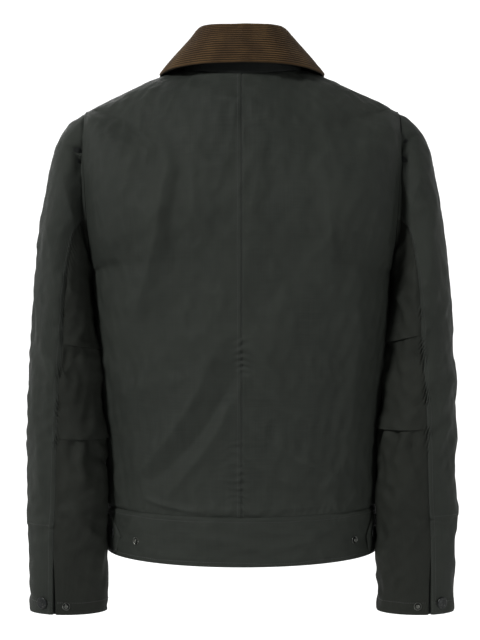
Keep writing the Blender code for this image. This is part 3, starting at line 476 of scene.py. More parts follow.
def weave(s, pitch):
    """Height of a plain weave from the cloth's own UV in metres: threads over and under."""
    u, v, _ = s.split(s.place(uv=True))
    turn = np.pi / pitch

    def wave(value, rate):
        return s.math("SINE", s.times(value, rate))

    warp, weft = wave(u, turn * 2), wave(v, turn * 2)
    cross = s.times(wave(u, turn), wave(v, turn))
    return s.math("ADD", s.times(s.math("ADD", warp, weft), 0.25), cross)


def cloth_material(name, dark, light, worn, pitch=0.00065, roughness=(0.62, 0.76)):
    """Waxed cotton: a plain weave, a soft uneven wax bloom, paler edges where it rubs, and paler fold crests
    that are partly rub wear and partly a painted highlight.
    """
    s = Shader(name, {"Specular IOR Level": 0.10})
    broad = s.noise(7.0, 5.0, 0.6)
    streak = s.noise(1.0, 4.0, 0.6, stretch=(900, 14, 1), uv=True)
    slub = s.noise(1.0, 4.0, 0.6, stretch=(18, 700, 1), uv=True)
    grain = s.times(s.math("ADD", streak, slub), 0.5)
    colour = s.mix(s.ramp(broad, 0.25, 0.78), dark, light)
    colour = s.mix(s.ramp(grain, 0.40, 0.62, 0.0, 0.70), colour, light)
    patches = s.ramp(s.noise(38.0, 4.0, 0.7), 0.45, 0.75, 0.15, 1.0)
    # paler where it rubs at edges, and on fold crests partly rub wear and partly a painted highlight
    colour = s.mix(s.times(s.attribute("wear_and_highlight"), patches, clamp=True), colour, worn)
    uneven = s.noise(60.0, 4.0, 0.6)
    bloom = s.ramp(s.math("ADD", s.times(broad, 0.5), s.times(uneven, 0.5)), 0.35, 0.65, *roughness)
    rough = s.bump(s.noise(420.0, 3.0, 0.6), 0.0005, 0.22)
    return s.surface({"Base Color": colour, "Roughness": bloom,
                      "Normal": s.bump(weave(s, pitch), 0.00010, 0.55, under=rough)})


def corduroy_material():
    s = Shader("corduroy", {"Roughness": 0.88, "Specular IOR Level": 0.20, "Sheen Weight": 0.04,
                            "Sheen Roughness": 0.55, "Sheen Tint": (1.0, 0.84, 0.58, 1)})
    wale = s.attribute("wale")
    pile = s.noise(1.0, 5.0, 0.7, stretch=(420, 1500, 1), uv=True)
    broad = s.noise(26.0, 5.0, 0.6)
    # the valleys between the wales are painted near black, as shade
    colour = s.mix(s.ramp(wale, 0.12, 0.90), rgb(6, 4, 2), rgb(72, 52, 29))
    colour = s.mix(s.ramp(pile, 0.38, 0.66, 0.0, 0.70), colour, rgb(26, 17, 9))
    golden = s.times(s.ramp(broad, 0.40, 0.72, 0.0, 0.60), s.ramp(wale, 0.3, 0.9))
    colour = s.mix(golden, colour, rgb(96, 73, 42))
    colour = s.mix(s.times(s.attribute("wear_and_highlight"), 0.55), colour, rgb(78, 59, 36))
    nap = s.bump(s.noise(1600.0, 2.0), 0.0003, 0.4)
    return s.surface({"Base Color": colour, "Normal": s.bump(pile, 0.0006, 0.55, under=nap)})


def metal_material(name, base, worn, roughness):
    """Painted or plated metal, rubbed through in small patches."""
    s = Shader(name, {"Metallic": 0.85, "Roughness": roughness})
    colour = s.mix(s.ramp(s.noise(520.0, 4.0, 0.65), 0.50, 0.72), base, worn)
    satin = s.ramp(s.noise(900.0, 3.0), 0.35, 0.65, roughness - 0.08, roughness + 0.12)
    pitted = s.bump(s.noise(1400.0, 2.0), 0.00012, 0.35)
    return s.surface({"Base Color": colour, "Roughness": satin, "Normal": pitted})


def thread_material():
    s = Shader("thread", {"Roughness": 0.55, "Sheen Weight": 0.15})
    turn = s.noise(2600.0, 2.0)
    colour = s.mix(turn, rgb(20, 22, 20), rgb(36, 39, 36))
    return s.surface({"Base Color": colour, "Normal": s.bump(turn, 0.0002, 0.5)})


WAXED = cloth_material("waxed_cloth", rgb(36, 39, 36), rgb(46, 49, 45), rgb(66, 70, 65))
# A darker copy of the waxed cloth: painted shade for the under sleeves, where they turn in towards the body
SHADED = cloth_material("waxed_cloth_painted_shade", rgb(28, 30, 27), rgb(37, 39, 35), rgb(54, 57, 52))
# The darker inner cloth of the shells' insides; it is also laid on the collar stand and the cuff underlaps as
# painted shade
LINING_AND_PAINTED_SHADE = cloth_material("inner_cloth_and_painted_shade", rgb(22, 24, 23), rgb(28, 30, 29), rgb(40, 43, 41), pitch=0.0005,
                        roughness=(0.60, 0.75))
TAPE = cloth_material("zip_tape_cloth", rgb(28, 30, 29), rgb(38, 40, 39), rgb(60, 62, 60), pitch=0.0009,
                      roughness=(0.70, 0.82))
CORDUROY = corduroy_material()
SNAP = metal_material("snap_paint", rgb(44, 46, 46), rgb(84, 84, 80), 0.42)
STUD = metal_material("stud_metal", rgb(84, 86, 82), rgb(128, 128, 120), 0.36)
BRASS = metal_material("zip_brass", rgb(128, 108, 70), rgb(176, 158, 116), 0.36)
THREAD_LOOK = thread_material()


# ------------------------------------------------------------------ pieces
def mesh_object(name, vertices, faces, materials, indices=None, uv=None, attributes=None):
    mesh = bpy.data.meshes.new(name)
    mesh.from_pydata(np.asarray(vertices).tolist(), [], faces)
    for material in materials:
        mesh.materials.append(material)
    if indices is not None:
        mesh.polygons.foreach_set("material_index", np.asarray(indices, np.int32))
    if uv is not None:
        layer = mesh.uv_layers.new(name="UVMap")
        loops = np.empty(len(mesh.loops), np.int32)
        mesh.loops.foreach_get("vertex_index", loops)
        layer.data.foreach_set("uv", np.asarray(uv, np.float32)[loops].ravel())
    for key, values in (attributes or {}).items():
        layer = mesh.attributes.new(key, "FLOAT", "POINT")
        layer.data.foreach_set("value", np.asarray(values, np.float32).ravel())
    mesh.shade_smooth()
    mesh.set_sharp_from_angle(angle=np.radians(50))
    mesh.validate()
    thing = bpy.data.objects.new(name, mesh)
    scene.collection.objects.link(thing)
    return thing


def quads(rows, columns, start, flip):
    i, j = np.meshgrid(np.arange(rows - 1), np.arange(columns - 1), indexing="ij")
    a = start + i * columns + j
    faces = np.stack((a, a + 1, a + columns + 1, a + columns), -1).reshape(-1, 4)
    return [tuple(face) for face in (faces[:, ::-1] if flip else faces).tolist()]


def tube(rings, around, start=0):
    """Faces round a row of rings with the same number of points, and the two caps."""
    faces = []
    for first in range(start, start + (rings - 1) * around, around):
        for k in range(around):
            a, b = first + k, first + (k + 1) % around
            faces.append((a, b, b + around, a + around))
    last = start + (rings - 1) * around
    return faces + [tuple(start + k for k in reversed(range(around))), tuple(last + k for k in range(around))]


def facing(grid, normals):
    """Whether quads() run the right way round for these normals."""
    a, b, c = grid[0, 0], grid[0, 1], grid[1, 0]
    return bool(np.dot(np.cross(b - a, c - a), normals[0, 0]) < 0)


def every(count, step):
    return np.unique(np.concatenate((np.arange(0, count, step), [count - 1])))


def shell(name, outer, inner, normals, look, wear_and_highlight, inside=None, extra=None, step=4):
    """One closed thin wall from an outer grid and an inner one that keeps every few of its rows."""
    rows, columns = outer.shape[:2]
    count = rows * columns
    flip = facing(outer, normals)
    kept_rows, kept_columns = every(rows, step), every(columns, step)
    small = inner[kept_rows][:, kept_columns]
    row_of, column_of = {r: n for n, r in enumerate(kept_rows)}, {c: n for n, c in enumerate(kept_columns)}
    rim = [(0, j) for j in range(columns)] + [(i, columns - 1) for i in range(1, rows)]
    rim += [(rows - 1, j) for j in range(columns - 2, -1, -1)] + [(i, 0) for i in range(rows - 2, 0, -1)]
    faces = quads(rows, columns, 0, flip)
    square = len(faces)
    faces += quads(len(kept_rows), len(kept_columns), count, not flip)
    inner_square = len(faces)
    run, last = [], None
    for i, j in rim + rim[:1]:
        run.append(i * columns + j)
        if i in row_of and j in column_of:
            corner = count + row_of[i] * len(kept_columns) + column_of[j]
            if last is not None:
                side = run[::-1] + [last, corner]
                faces.append(tuple(side[::-1] if flip else side))
            run, last = [i * columns + j], corner
    indices = np.zeros(len(faces), np.int32)
    indices[square:inner_square] = 1 if inside else 0
    flat = np.stack((run_of(outer, 1), run_of(outer, 0)), -1)
    spare = np.zeros(small.shape[0] * small.shape[1])
    attributes = {key: np.concatenate((values.ravel(), spare))
                  for key, values in {"wear_and_highlight": wear_and_highlight, **(extra or {})}.items()}
    vertices = np.concatenate((outer.reshape(-1, 3), small.reshape(-1, 3)))
    uv = np.concatenate((flat.reshape(-1, 2), flat[kept_rows][:, kept_columns].reshape(-1, 2)))
    return mesh_object(name, vertices, faces, [look, inside or look], indices, uv, attributes)


CREST_WEAR_AND_HIGHLIGHT, CREST_HEIGHT, EDGE_WIDTH = 0.13, 0.0012, 0.0016


def wear_and_highlight_of(height, *edges):
    """Where cloth is paler: on the crests of its folds, partly rub wear and partly a painted highlight, and
    along the edges given with their strengths, where it rubs pale.
    """
    near = 4
    lap = height * 4
    for axis in (0, 1):
        for shift in (near, -near):
            lap = lap - np.roll(height, shift, axis)
    crest = np.clip(lap / CREST_HEIGHT, 0, 1)
    crest[:near], crest[-near:], crest[:, :near], crest[:, -near:] = 0, 0, 0, 0
    # fold crests paler: partly rub wear, partly a painted highlight
    wear_and_highlight = CREST_WEAR_AND_HIGHLIGHT * crest
    for distance, strength in edges:
        wear_and_highlight = wear_and_highlight + strength * np.exp(-distance / EDGE_WIDTH)
    return np.clip(wear_and_highlight, 0, 1)


def lapped(trims):
    """The trims of a shell's inside: where its outside stops at a seam, the inside runs on past it."""
    return tuple(-SEAM_LAP if trim else 0.0 for trim in trims)


def draw_in(grid, trims):
    """Draw a grid's edges in for the seam gap: first row, last row, first column, last column."""
    result = grid.copy()
    for axis in (0, 1):
        source, drawn = grid.swapaxes(0, axis), result.swapaxes(0, axis)
        for (edge, beside), trim in zip(((0, 1), (-1, -2)), trims[2 * axis:]):
            drawn[edge] += unit(source[beside] - source[edge]) * trim
    return result


def dress(piece, node):
    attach(piece, "jacket" if node != "zip_pull" else "pull")
    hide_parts(node)


def cloth_piece(node, outer, inner, normals, trims, look, wear_and_highlight, inside=None, slot="cloth", **more):
    outer, inner = draw_in(outer, trims), draw_in(inner, lapped(trims))
    dress(shell(f"{node}_cloth", outer, inner, normals, look, wear_and_highlight, inside, **more), node)


def side_name(side):
    return "left" if side > 0 else "right"


stitched = []


TURNED = {"first_column": lambda grid: grid, "last_column": lambda grid: grid[:, ::-1],
          "first_row": lambda grid: grid.swapaxes(0, 1), "last_row": lambda grid: grid[::-1].swapaxes(0, 1)}


def sew_beside(grid, normals, edge, *distances):
    """Lines of stitches on the surface at these distances from an edge of its grid."""
    rows, ways = TURNED[edge](grid), TURNED[edge](normals)
    run = run_of(rows, 1)
    for distance in distances:
        sew(np.array([at(distance, *pair) for pair in zip(run, rows)]),
            unit(np.array([at(distance, *pair) for pair in zip(run, ways)])))


def sew(points, normals):
    """Stitches along a line, kept for the jacket's stitching piece."""
    run = length_along(points)
    for centre in np.arange(STITCH_STEP / 2, run[-1] - STITCH_STEP / 2, STITCH_STEP):
        ends = [at(centre + ahead, run, points) for ahead in (-STITCH / 2, 0, STITCH / 2)]
        stitched.append((*ends, unit(at(centre, run, normals))))


def build_stitching(name):
    """All stitches as small flattened beads that dip into the cloth at both ends."""
    around = 4
    vertices, faces = [], []
    for start, middle, end, normal in stitched:
        across = np.cross(unit(end - start), normal)
        faces += tube(4, around, len(vertices))
        for place, size, lift in ((start, 0.35, -0.5), (start * 0.6 + middle * 0.4, 1.0, 0.4),
                                  (end * 0.6 + middle * 0.4, 1.0, 0.4), (end, 0.35, -0.5)):
            for turn in np.arange(around) * 2 * np.pi / around:
                round_it = across * np.cos(turn) + normal * np.sin(turn) * 0.7
                vertices.append(place + (round_it * size + normal * lift) * THREAD)
    piece = mesh_object(name, vertices, faces, [THREAD_LOOK])
    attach(piece, "jacket")


# ------------------------------------------------------------------ back and fronts
# Grid steps of a panel: up the flank, beside the armhole, along the shoulder, from the centre to the side
BACK_STEPS, FRONT_STEPS = (210, 110, 50, 128), (126, 66, 30, 80)
BODY_MIDDLE = np.array((0, 0, -0.35))
CENTRE_LINES, ZIP_LINE = (0.0010, 0.0062), 0.0055
# Puckers of a seam: pitch, reach beside it, rise, seed
CENTRE_PULL, ZIP_PULL, WAIST_PULL = (0.0100, 0.013, 0.00075, 30), (0.011, 0.009, 0.0002, 31), (
    0.012, 0.010, 0.00055, 32)
BACK_SEED, FRONT_SEED = 12, 10      # both backs share one, so that they meet along the centre seam
FLANK_SWELL = 0.0036                # the sides are fuller where the sleeves rest on them
ARMHOLE_RISE = 0.0007


def build_panel(side, back):
    name = f"{'back' if back else 'front'}_{side_name(side)}"
    flank, chest, shoulder, across = BACK_STEPS if back else FRONT_STEPS
    levels = np.concatenate((graded(flank, True, False, 0.0030)[:-1] - 1,
                             unease(np.linspace(0, 1, chest))[:-1],
                             graded(shoulder, False, True, 0.006) + 1))
    shares = graded(across, True, True)
    start_x = 0.0 if back else FRONT_EDGE_X
    grid = mirrored(np.array([panel_row(level, shares, back, start_x) for level in levels]), side)
    normals = normals_of(grid, BODY_MIDDLE)
    d = Distances(grid)
    z = grid[..., 2]
    height = fold_height(grid, BACK_FOLDS if back else FRONT_FOLDS)
    height += crinkle(grid, BACK_SEED if back else FRONT_SEED + (side > 0))
    clear = clear_of((d.last_column, 0.016), (d.last_row, 0.008), (d.first_row, 0.005))
    if back:
        height = height * clear
        low = smooth(-0.30, -0.37, z)
        height += pucker(d.first_column, d.down + 0.35 * d.across, grid, *CENTRE_PULL) * (0.18 + 0.82 * low)
        height += seam(d.first_column, CENTRE_LINES if side > 0 else ())
    else:
        clear = clear * smooth(0.0, 0.012, d.first_column)
        height = height * clear
        height += seam(d.first_column, (ZIP_LINE,)) + pucker(d.first_column, d.down, grid, *ZIP_PULL)
    height += seam(d.first_row) + pucker(d.first_row, d.across, grid, *WAIST_PULL) * clear
    height += seam(d.last_row)
    armhole = smooth(0.0, 0.02, z - ARMPIT_Z)
    edge = (1 - smooth(0.004, 0.010, d.last_column)) * smooth(0.0, 0.0008, d.last_column)
    height += seam(d.last_column) + ARMHOLE_RISE * armhole * edge
    flank = smooth(ARMPIT_Z + 0.030, ARMPIT_Z - 0.022, z) * smooth(WAIST_SEAM_Z, WAIST_SEAM_Z + 0.005, z)
    height += FLANK_SWELL * flank * smooth(0.150, 0.020, d.last_column)
    wear_and_highlight = wear_and_highlight_of(height, (d.last_column, 0.20), (d.first_column, 0.10))
    outer = grid + normals * height[..., None]
    cloth_piece(name, outer, outer - normals * CLOTH, normals, (TRIM,) * 4, WAXED, wear_and_highlight, LINING_AND_PAINTED_SHADE)
    if not back:
        sew_beside(outer, normals, "first_column", ZIP_LINE)
    elif side > 0:
        sew_beside(outer, normals, "first_column", *CENTRE_LINES)


# ------------------------------------------------------------------ sleeves
PLACE_STEPS, TOP_STEPS, UNDER_STEPS = 380, 104, 44
SLEEVE_LINES, HEM_TURN = (0.0012, 0.0062), 0.016
REAR_PULL, FRONT_PULL = (0.0085, 0.008, 0.00105), (0.0105, 0.006, 0.0003)
ARMHOLE_SINK, SINK_WIDTH = 0.0065, 0.018
INWARD_SWELL, ELBOW_SWELL, ELBOW_PLACE = 0.0042, 0.0050, 9.4    # the inside of the sleeve rests on the body
BAR_REACH, BAR_RISE, BAR_DIP = 0.045, 0.0016, 0.0015


def sleeve_places(pleats):
    """Places of the grid's rows, finer beside the armhole, the pleats and the hem."""
    places = set(np.round(np.linspace(0, CUFF_PLACE, PLACE_STEPS), 4))
    places |= {0.012, 0.03, 0.06, 0.1, 0.15, 11.985, 11.96}
    for edge in pleats:
        places |= {round(edge + k, 4) for k in (-0.06, -0.04, -0.025, -0.012, 0, 0.012, 0.024, 0.04, 0.06)}
    return np.array(sorted(places))


def pleat_height(place, share, points, pleats, seed):
    """Two pleats across the under sleeve at the elbow: cloth swells over each edge, gathered below it."""
    swell, gathered = np.zeros(points.shape[:-1]), np.zeros(points.shape[:-1])
    across = np.clip(3.6 * share * (1 - share) * 1.3, 0, 1)
    for k, (edge, run, rise) in enumerate(zip(pleats, GATHER_RUNS, GATHER_RISES)):
        above = (edge - place) / PLEAT_RUN
        over = np.where((above >= 0) & (above < 1), np.clip(1 - above, 0, 1) ** 1.4, 0)
        swell += PLEAT_RISE * over * across
        below = (place - edge) / run
        fan = np.where(below > 0, np.clip(below * 8, 0, 1) * np.clip(1 - below, 0, 1) ** 1.2, 0)
        gathers = np.sin(share * 2 * np.pi * (4.5 + k) + 1.2 * ripple(points, 0.05, seed + k)
                         + below * 1.5 * (share - 0.5))
        gathered += rise * fan * gathers * across
    return swell, gathered


def build_sleeve(side, top):
    name = f"sleeve_{'top' if top else 'under'}_{side_name(side)}"
    pleats = LEFT_PLEATS if side > 0 else RIGHT_PLEATS
    places = sleeve_places(pleats)
    shares = graded(TOP_STEPS, True, True, 0.0026) if top else graded(UNDER_STEPS, True, True, 0.0060)
    rows, middle = [], []
    for place in places:
        ring = read_table(SLEEVE, place)
        start, end = (ring.rear_seam, FRONT_SEAM - 360) if top else (FRONT_SEAM, ring.rear_seam)
        rows.append(sleeve_ring(place, start + (end - start) * shares))
        middle.append([((ring.outer_x + ring.inner_x) / 2, ring.mid_y, (ring.outer_z + ring.inner_z) / 2)])
    grid, middle = mirrored(np.array(rows), side), mirrored(np.array(middle), side)
    normals = normals_of(grid, middle)
    d = Distances(grid)
    rear, front = (d.first_column, d.last_column) if top else (d.last_column, d.first_column)
    place, z = places[:, None], grid[..., 2]
    rear_half = smooth(-0.010, 0.012, grid[..., 1] - middle[..., 1])
    height = fold_height(grid, LEFT_REAR_FOLDS if side > 0 else RIGHT_REAR_FOLDS) * rear_half
    height += fold_height(mirrored(grid, side), FRONT_SLEEVE_FOLDS) * (1 - rear_half)
    crinkled = (0.7 if top else 1.2) + 0.4 * smooth(5.0, 8.0, place)
    height = height + crinkle(grid, 50 + side + 4 * top, (1, 1, 1.3)) * crinkled
    at_vent = smooth(VENT_PLACE - 0.3, VENT_PLACE, place) * smooth(0.045, 0.020, rear)
    clear = clear_of((rear, 0.008), (front, 0.008), (d.last_row, 0.004)) * smooth(0.02, 0.30, place)
    height = height * clear * (1 - 0.7 * at_vent)
    # the sleeve starts a little under the edge of the body, and sinks in beside the armhole behind
    height -= ARMHOLE_RISE * (1 - smooth(0.0, 0.006, d.first_row)) * smooth(0.0, 0.02, z - ARMPIT_Z)
    sink = smooth(0.0, 0.0022, d.first_row) * bell(d.first_row, SINK_WIDTH)
    height -= ARMHOLE_SINK * sink * smooth(-0.255, -0.215, z) * smooth(-0.085, -0.120, z) * rear_half
    height += seam(d.first_row)
    at_elbow = smooth(5.8, 6.4, place) * (1 - smooth(9.2, 9.8, place))
    height += pucker(rear, d.down, grid, *REAR_PULL, 60 + side) * (0.35 + 0.65 * at_elbow)
    height += pucker(front, d.down, grid, *FRONT_PULL, 64 + side)
    height += seam(rear, SLEEVE_LINES if top else (), 0.0004) + seam(front)
    height += 0.0004 * (1 - smooth(HEM_TURN - 0.0008, HEM_TURN + 0.002, d.last_row))
    height -= 0.0003 * bell(d.last_row - HEM_TURN, 0.001) + 0.0005 * bell(d.last_row, 0.0012)
    if top:
        # a raised bar is sewn across above the vent
        bar_row = int(np.searchsorted(places, VENT_PLACE - (0.50 if side > 0 else 0.66)))
        bar = d.down - d.down[bar_row]
        height += BAR_RISE * smooth(0.062, 0.040, rear) * bell(bar + 0.004, 0.0045)
        height -= BAR_DIP * smooth(0.062, 0.040, rear) * bell(bar, 0.0016)
        outer = grid + normals * height[..., None]
        inner = outer - normals * CLOTH
    else:
        swell = INWARD_SWELL + ELBOW_SWELL * bell(place - ELBOW_PLACE, 1.2)
        inward = smooth(0.25, 0.55, shares) * smooth(1.0, 0.80, shares)
        height += swell * inward * smooth(0.2, 1.4, place) * smooth(12.0, 11.0, place)
        pleat, gathered = pleat_height(place, shares, grid, pleats, 70 + side)
        height = height + gathered
        level = (grid - middle) * np.array((1, 1, 0))
        outer = grid + normals * height[..., None] + unit(level) * pleat[..., None]
        inner = grid + normals * (height - CLOTH)[..., None]
        height = height + pleat
    parted = VENT_PART * np.clip((place - VENT_PLACE) / (CUFF_PLACE - VENT_PLACE), 0, 1) ** 0.6
    parted = parted * np.clip(1 - rear / 0.020, 0, 1) * (0.25 if top else -0.75)
    shift = unit(np.gradient(grid, axis=1)) * parted[..., None]
    outer, inner = outer + shift, inner + shift
    wear_and_highlight = wear_and_highlight_of(height, (d.last_row, 0.45), (rear, 0.15))
    # the under sleeve gets the darker copy of the waxed cloth as painted shade
    cloth_piece(name, outer, inner, normals, (TRIM, 0.0, TRIM, TRIM), WAXED if top else SHADED, wear_and_highlight, LINING_AND_PAINTED_SHADE,
                step=4 if top else 2)
    if top:
        sew_beside(outer, normals, "first_column", *SLEEVE_LINES)
        reach = int(np.searchsorted(rear[bar_row], BAR_REACH))
        sew(outer[bar_row - 2, 8:reach], normals[bar_row - 2, 8:reach])
    sew_beside(outer, normals, "last_row", HEM_TURN)


# ------------------------------------------------------------------ waistband, tabs
BAND_MIDDLE = np.array((0, 0, -0.613))
BAND_TOP_LINE, BAND_HEM_LINE, TAB_LINE = 0.0062, 0.0058, 0.0042
TOP_PULL, HEM_PULL = (0.0100, 0.006, 0.00016, 84), (0.0100, 0.007, 0.00022, 86)
BAND_FOLDS = folds(
    (60, -606, -10, -612, 2, 6, 5, 0.9), (10, -622, -90, -614, 2, 5, 6, 0.9),
    (-30, -600, -120, -604, 1, 4, 5, 0.6), (120, -630, 50, -634, 1, 4, 5, 0.6),
)


def band_row(z, shares, back, side, start_x=0.0):
    return mirrored(panel_row(-1, shares, back, start_x, level_z=z), side)


def share_at_x(z, x):
    """Where the back's level section at height z reaches x."""
    shares = np.linspace(0, 1, 2001)
    return float(np.interp(x, panel_row(-1, shares, True, level_z=z)[:, 0], shares))


def build_band(name, back, side=1):
    heights = WAIST_SEAM_Z + (HEM_Z - WAIST_SEAM_Z) * graded(26, True, True, 0.008)
    if back:
        shares = 1 - graded(110, True, False)
        rows = [(band_row(z, shares, True, 1), band_row(z, shares[::-1][1:], True, -1)) for z in heights]
        grid = np.array([np.concatenate(row) for row in rows])
    else:
        shares = graded(100, True, True)
        grid = np.array([band_row(z, shares, False, side, FRONT_EDGE_X) for z in heights])
    normals = normals_of(grid, BAND_MIDDLE)
    d = Distances(grid)
    height = PROUD + 0.0006 * clear_of((d.first_row, 0.006), (d.last_row, 0.006))
    for distance, line in ((d.first_row, BAND_TOP_LINE), (d.last_row, BAND_HEM_LINE)):
        height = height - 0.00040 * bell(distance - line, 0.0011) - 0.0008 * bell(distance, 0.0012)
    ends = smooth(0, 0.004, d.last_column) * (1 if back else smooth(0, 0.004, d.first_column))
    soft = crinkle(grid, 80 + side + 2 * back, (1.6, 1, 1)) * 0.8
    soft += pucker(np.abs(d.first_row - BAND_TOP_LINE), d.across, grid, *TOP_PULL)
    soft += pucker(np.abs(d.last_row - BAND_HEM_LINE), d.across, grid, *HEM_PULL)
    if back:
        soft += fold_height(grid, BAND_FOLDS)
    height = height + soft * ends * clear_of((d.first_row, 0.002), (d.last_row, 0.002))
    outer = grid + normals * height[..., None]
    wear_and_highlight = wear_and_highlight_of(height, (d.last_row, 0.45), (d.first_row, 0.10))
    trims = (TRIM, 0.0, TRIM if back else 0.0, TRIM)
    cloth_piece(name, outer, outer - normals * BAND_CLOTH, normals, trims, WAXED, wear_and_highlight, LINING_AND_PAINTED_SHADE)
    sew_beside(outer, normals, "first_row", BAND_TOP_LINE)
    sew_beside(outer, normals, "last_row", BAND_HEM_LINE)


def build_tab(tab):
    name = side_name(tab.side)
    steps = graded(14, True, True, 0.015)
    top, tip, bottom = (np.array(end) for end in (
        (TAB_TOP_Z, tab.top_x), (TAB_TIP_Z, tab.tip_x), (TAB_BOTTOM_Z, tab.bottom_x)))
    outline = [top + (tip - top) * k for k in steps] + [tip + (bottom - tip) * k for k in steps[1:]]
    shares, side_seam = graded(30, False, True, 0.010), 0.999
    grid = np.array([band_row(z, side_seam + (share_at_x(z, x) - side_seam) * shares, True, tab.side)
                     for z, x in outline])
    normals = normals_of(grid, BAND_MIDDLE)
    d = Distances(grid)
    edge = np.minimum.reduce((d.first_row, d.last_row, d.last_column))
    base = PROUD + SEAM_GAP + TAB_CLOTH
    height = base + 0.0005 * smooth(0.0, 0.0035, edge) - 0.0007 * bell(edge, 0.0010)
    height = height - 0.00035 * bell(edge - TAB_LINE, 0.0009) + crinkle(grid, 90 + tab.side) * 0.5
    outer = grid + normals * height[..., None]
    inner = grid + normals * (base - TAB_CLOTH + 0.00025)
    cloth_piece(f"tab_{name}", outer, inner, normals, (0.0, 0.0, SEAM_GAP / 2, 0.0), WAXED,
                wear_and_highlight_of(height, (edge, 0.4)))
    for line in ("first_row", "last_row", "last_column"):
        sew_beside(outer, normals, line, TAB_LINE)
    for stud, node, x, z, lift in ((CAP, "tab_snap", tab.snap_x, SNAP_Z, base + 2 * SEAM_GAP),
                                   (RING, "waist_stud", tab.stud_x, WAIST_STUD_Z, PROUD + 1.5 * SEAM_GAP)):
        share = share_at_x(z, x)
        here, beside = band_row(z, np.array((share, share + 0.01)), True, tab.side)
        normal = unit(np.cross((0, 0, 1), beside - here)) * tab.side
        build_stud(stud, f"{node}_{name}", here + normal * lift, normal)


# ------------------------------------------------------------------ press studs
# Profiles turned about the normal, in shares of the stud's radius and rise: a cap with a rolled rim round
# a shallow dished face, and a ring pressed into the cloth with the stud's neck and head in its groove; the
# groove, the neck and the side of the head are painted in the darker snap metal as shade
Stud = namedtuple("Stud", "end radius rise look groove profile")
CAP = Stud("cap", SNAP_RADIUS, SNAP_RISE, SNAP, (0, 0), (
    (0, 0), (0.88, 0), (0.97, 0.10), (1, 0.30), (0.985, 0.52), (0.94, 0.72), (0.87, 0.82), (0.80, 0.84),
    (0.74, 0.78), (0.68, 0.80), (0.55, 0.90), (0.35, 0.97), (0.15, 1), (0, 1)))
RING = Stud("ring", STUD_RADIUS, STUD_RISE, STUD, (6, 12), (
    (0, 0), (0.96, 0), (1, 0.08), (0.99, 0.28), (0.93, 0.40), (0.86, 0.38), (0.78, 0.20), (0.60, 0.08),
    (0.44, 0.10), (0.40, 0.40), (0.40, 0.60), (0.47, 0.74), (0.48, 0.86), (0.40, 0.97), (0.20, 1), (0, 1)))


def turned(name, profile, place, normal, looks, steps=40, groove=(0, 0)):
    """A solid turned about the normal from its profile of (radius, height) points."""
    first = unit(np.cross(normal, (0.0, 0.0, 1.0) if abs(normal[2]) < 0.9 else (1.0, 0.0, 0.0)))
    second = np.cross(normal, first)
    vertices, rings = [], []
    for radius, height in profile:
        rings.append((len(vertices), radius > 0))
        for k in range(steps if radius else 1):
            turn = 2 * np.pi * k / steps
            vertices.append(place + normal * height + (first * np.cos(turn) + second * np.sin(turn)) * radius)
    faces = []
    for (low, low_ring), (high, high_ring) in zip(rings, rings[1:]):
        for k in range(steps):
            beyond = (k + 1) % steps
            corners = [low + step * low_ring for step in (k, beyond)]
            corners += [high + step * high_ring for step in (beyond, k)]
            faces.append(tuple(dict.fromkeys(corners))[::-1])
    # the groove rows take the second look, a darker metal painted on as shade
    dark = [int(groove[0] <= n < groove[1]) for n in range(len(profile) - 1) for _ in range(steps)]
    return mesh_object(name, vertices, faces, looks, np.array(dark, np.int32))


def build_stud(stud, node, place, normal):
    profile = [(radius * stud.radius, height * stud.rise) for radius, height in stud.profile]
    # the darker snap metal is the second look, painted on the groove as shade
    cap = turned(f"{node}_{stud.end}", profile, place, normal, [stud.look, SNAP], groove=stud.groove)
    dress(cap, node)


UNDERLAP_START, UNDERLAP_TURN = 9, 39   # degrees: from just inside the rear seam, out under the top sleeve
UNDERLAP_DEPTH = 8 * SEAM_GAP


def build_cuff(side):
    name = side_name(side)
    for (place, angle), lift, stud, node in ((CUFF_SNAP, 2.5 * SEAM_GAP, CAP, "cuff_snap"),
                                             (CUFF_STUD, 2 * SEAM_GAP, RING, "cuff_stud")):
        here = sleeve_ring(place, angle)
        normal = unit(np.cross(sleeve_ring(place, angle - 2) - here, sleeve_ring(place + 0.05, angle) - here))
        here, normal = mirrored(here, side), mirrored(normal, side)
        build_stud(stud, f"{node}_{name}", here + normal * lift, normal)
    turns = UNDERLAP_START - UNDERLAP_TURN * graded(22, True, True, 0.02)
    grid = mirrored(np.array([sleeve_ring(place, read_table(SLEEVE, place).rear_seam + turns)
                              for place in np.linspace(VENT_PLACE - 0.1, CUFF_PLACE, 40)]), side)
    normals = normals_of(grid, grid.mean((0, 1)) + np.array((0, -0.05, 0)))
    d = Distances(grid)
    height = -(CLOTH + UNDERLAP_DEPTH) + crinkle(grid, 96 + side) * 0.2 - 0.0003 * bell(d.nearest, 0.0012)
    outer = grid + normals * height[..., None]
    inner = grid - normals * (CLOTH * 1.8 + UNDERLAP_DEPTH)
    # the underlap gets the dark inner cloth: painted shade in the vent
    cloth_piece(f"cuff_underlap_{name}", outer, inner, normals, (0.0, 0.0004, 0.0, 0.0), LINING_AND_PAINTED_SHADE,
                wear_and_highlight_of(height, (d.nearest, 0.4)))


# ------------------------------------------------------------------ collar
STAND_PULL = (0.012, 0.008, 0.0003, 106)


def stations(before, after):
    """Stations from the centre back to the shoulder and on to the front end, so many in each part."""
    return np.concatenate((np.linspace(0, SHOULDER_STATION, before),
                           np.linspace(SHOULDER_STATION, LAST_STATION, after)[1:]))


def both_halves(half):
    return np.concatenate((mirrored(half[:0:-1], -1), half))


def neck_seam(station):
    if station <= SHOULDER_STATION:
        return panel_row(2, np.array((station / SHOULDER_STATION,)), True)[0]
    share = (LAST_STATION - station) / (LAST_STATION - SHOULDER_STATION)
    return panel_row(2, np.array((share,)), False, FRONT_EDGE_X)[0]


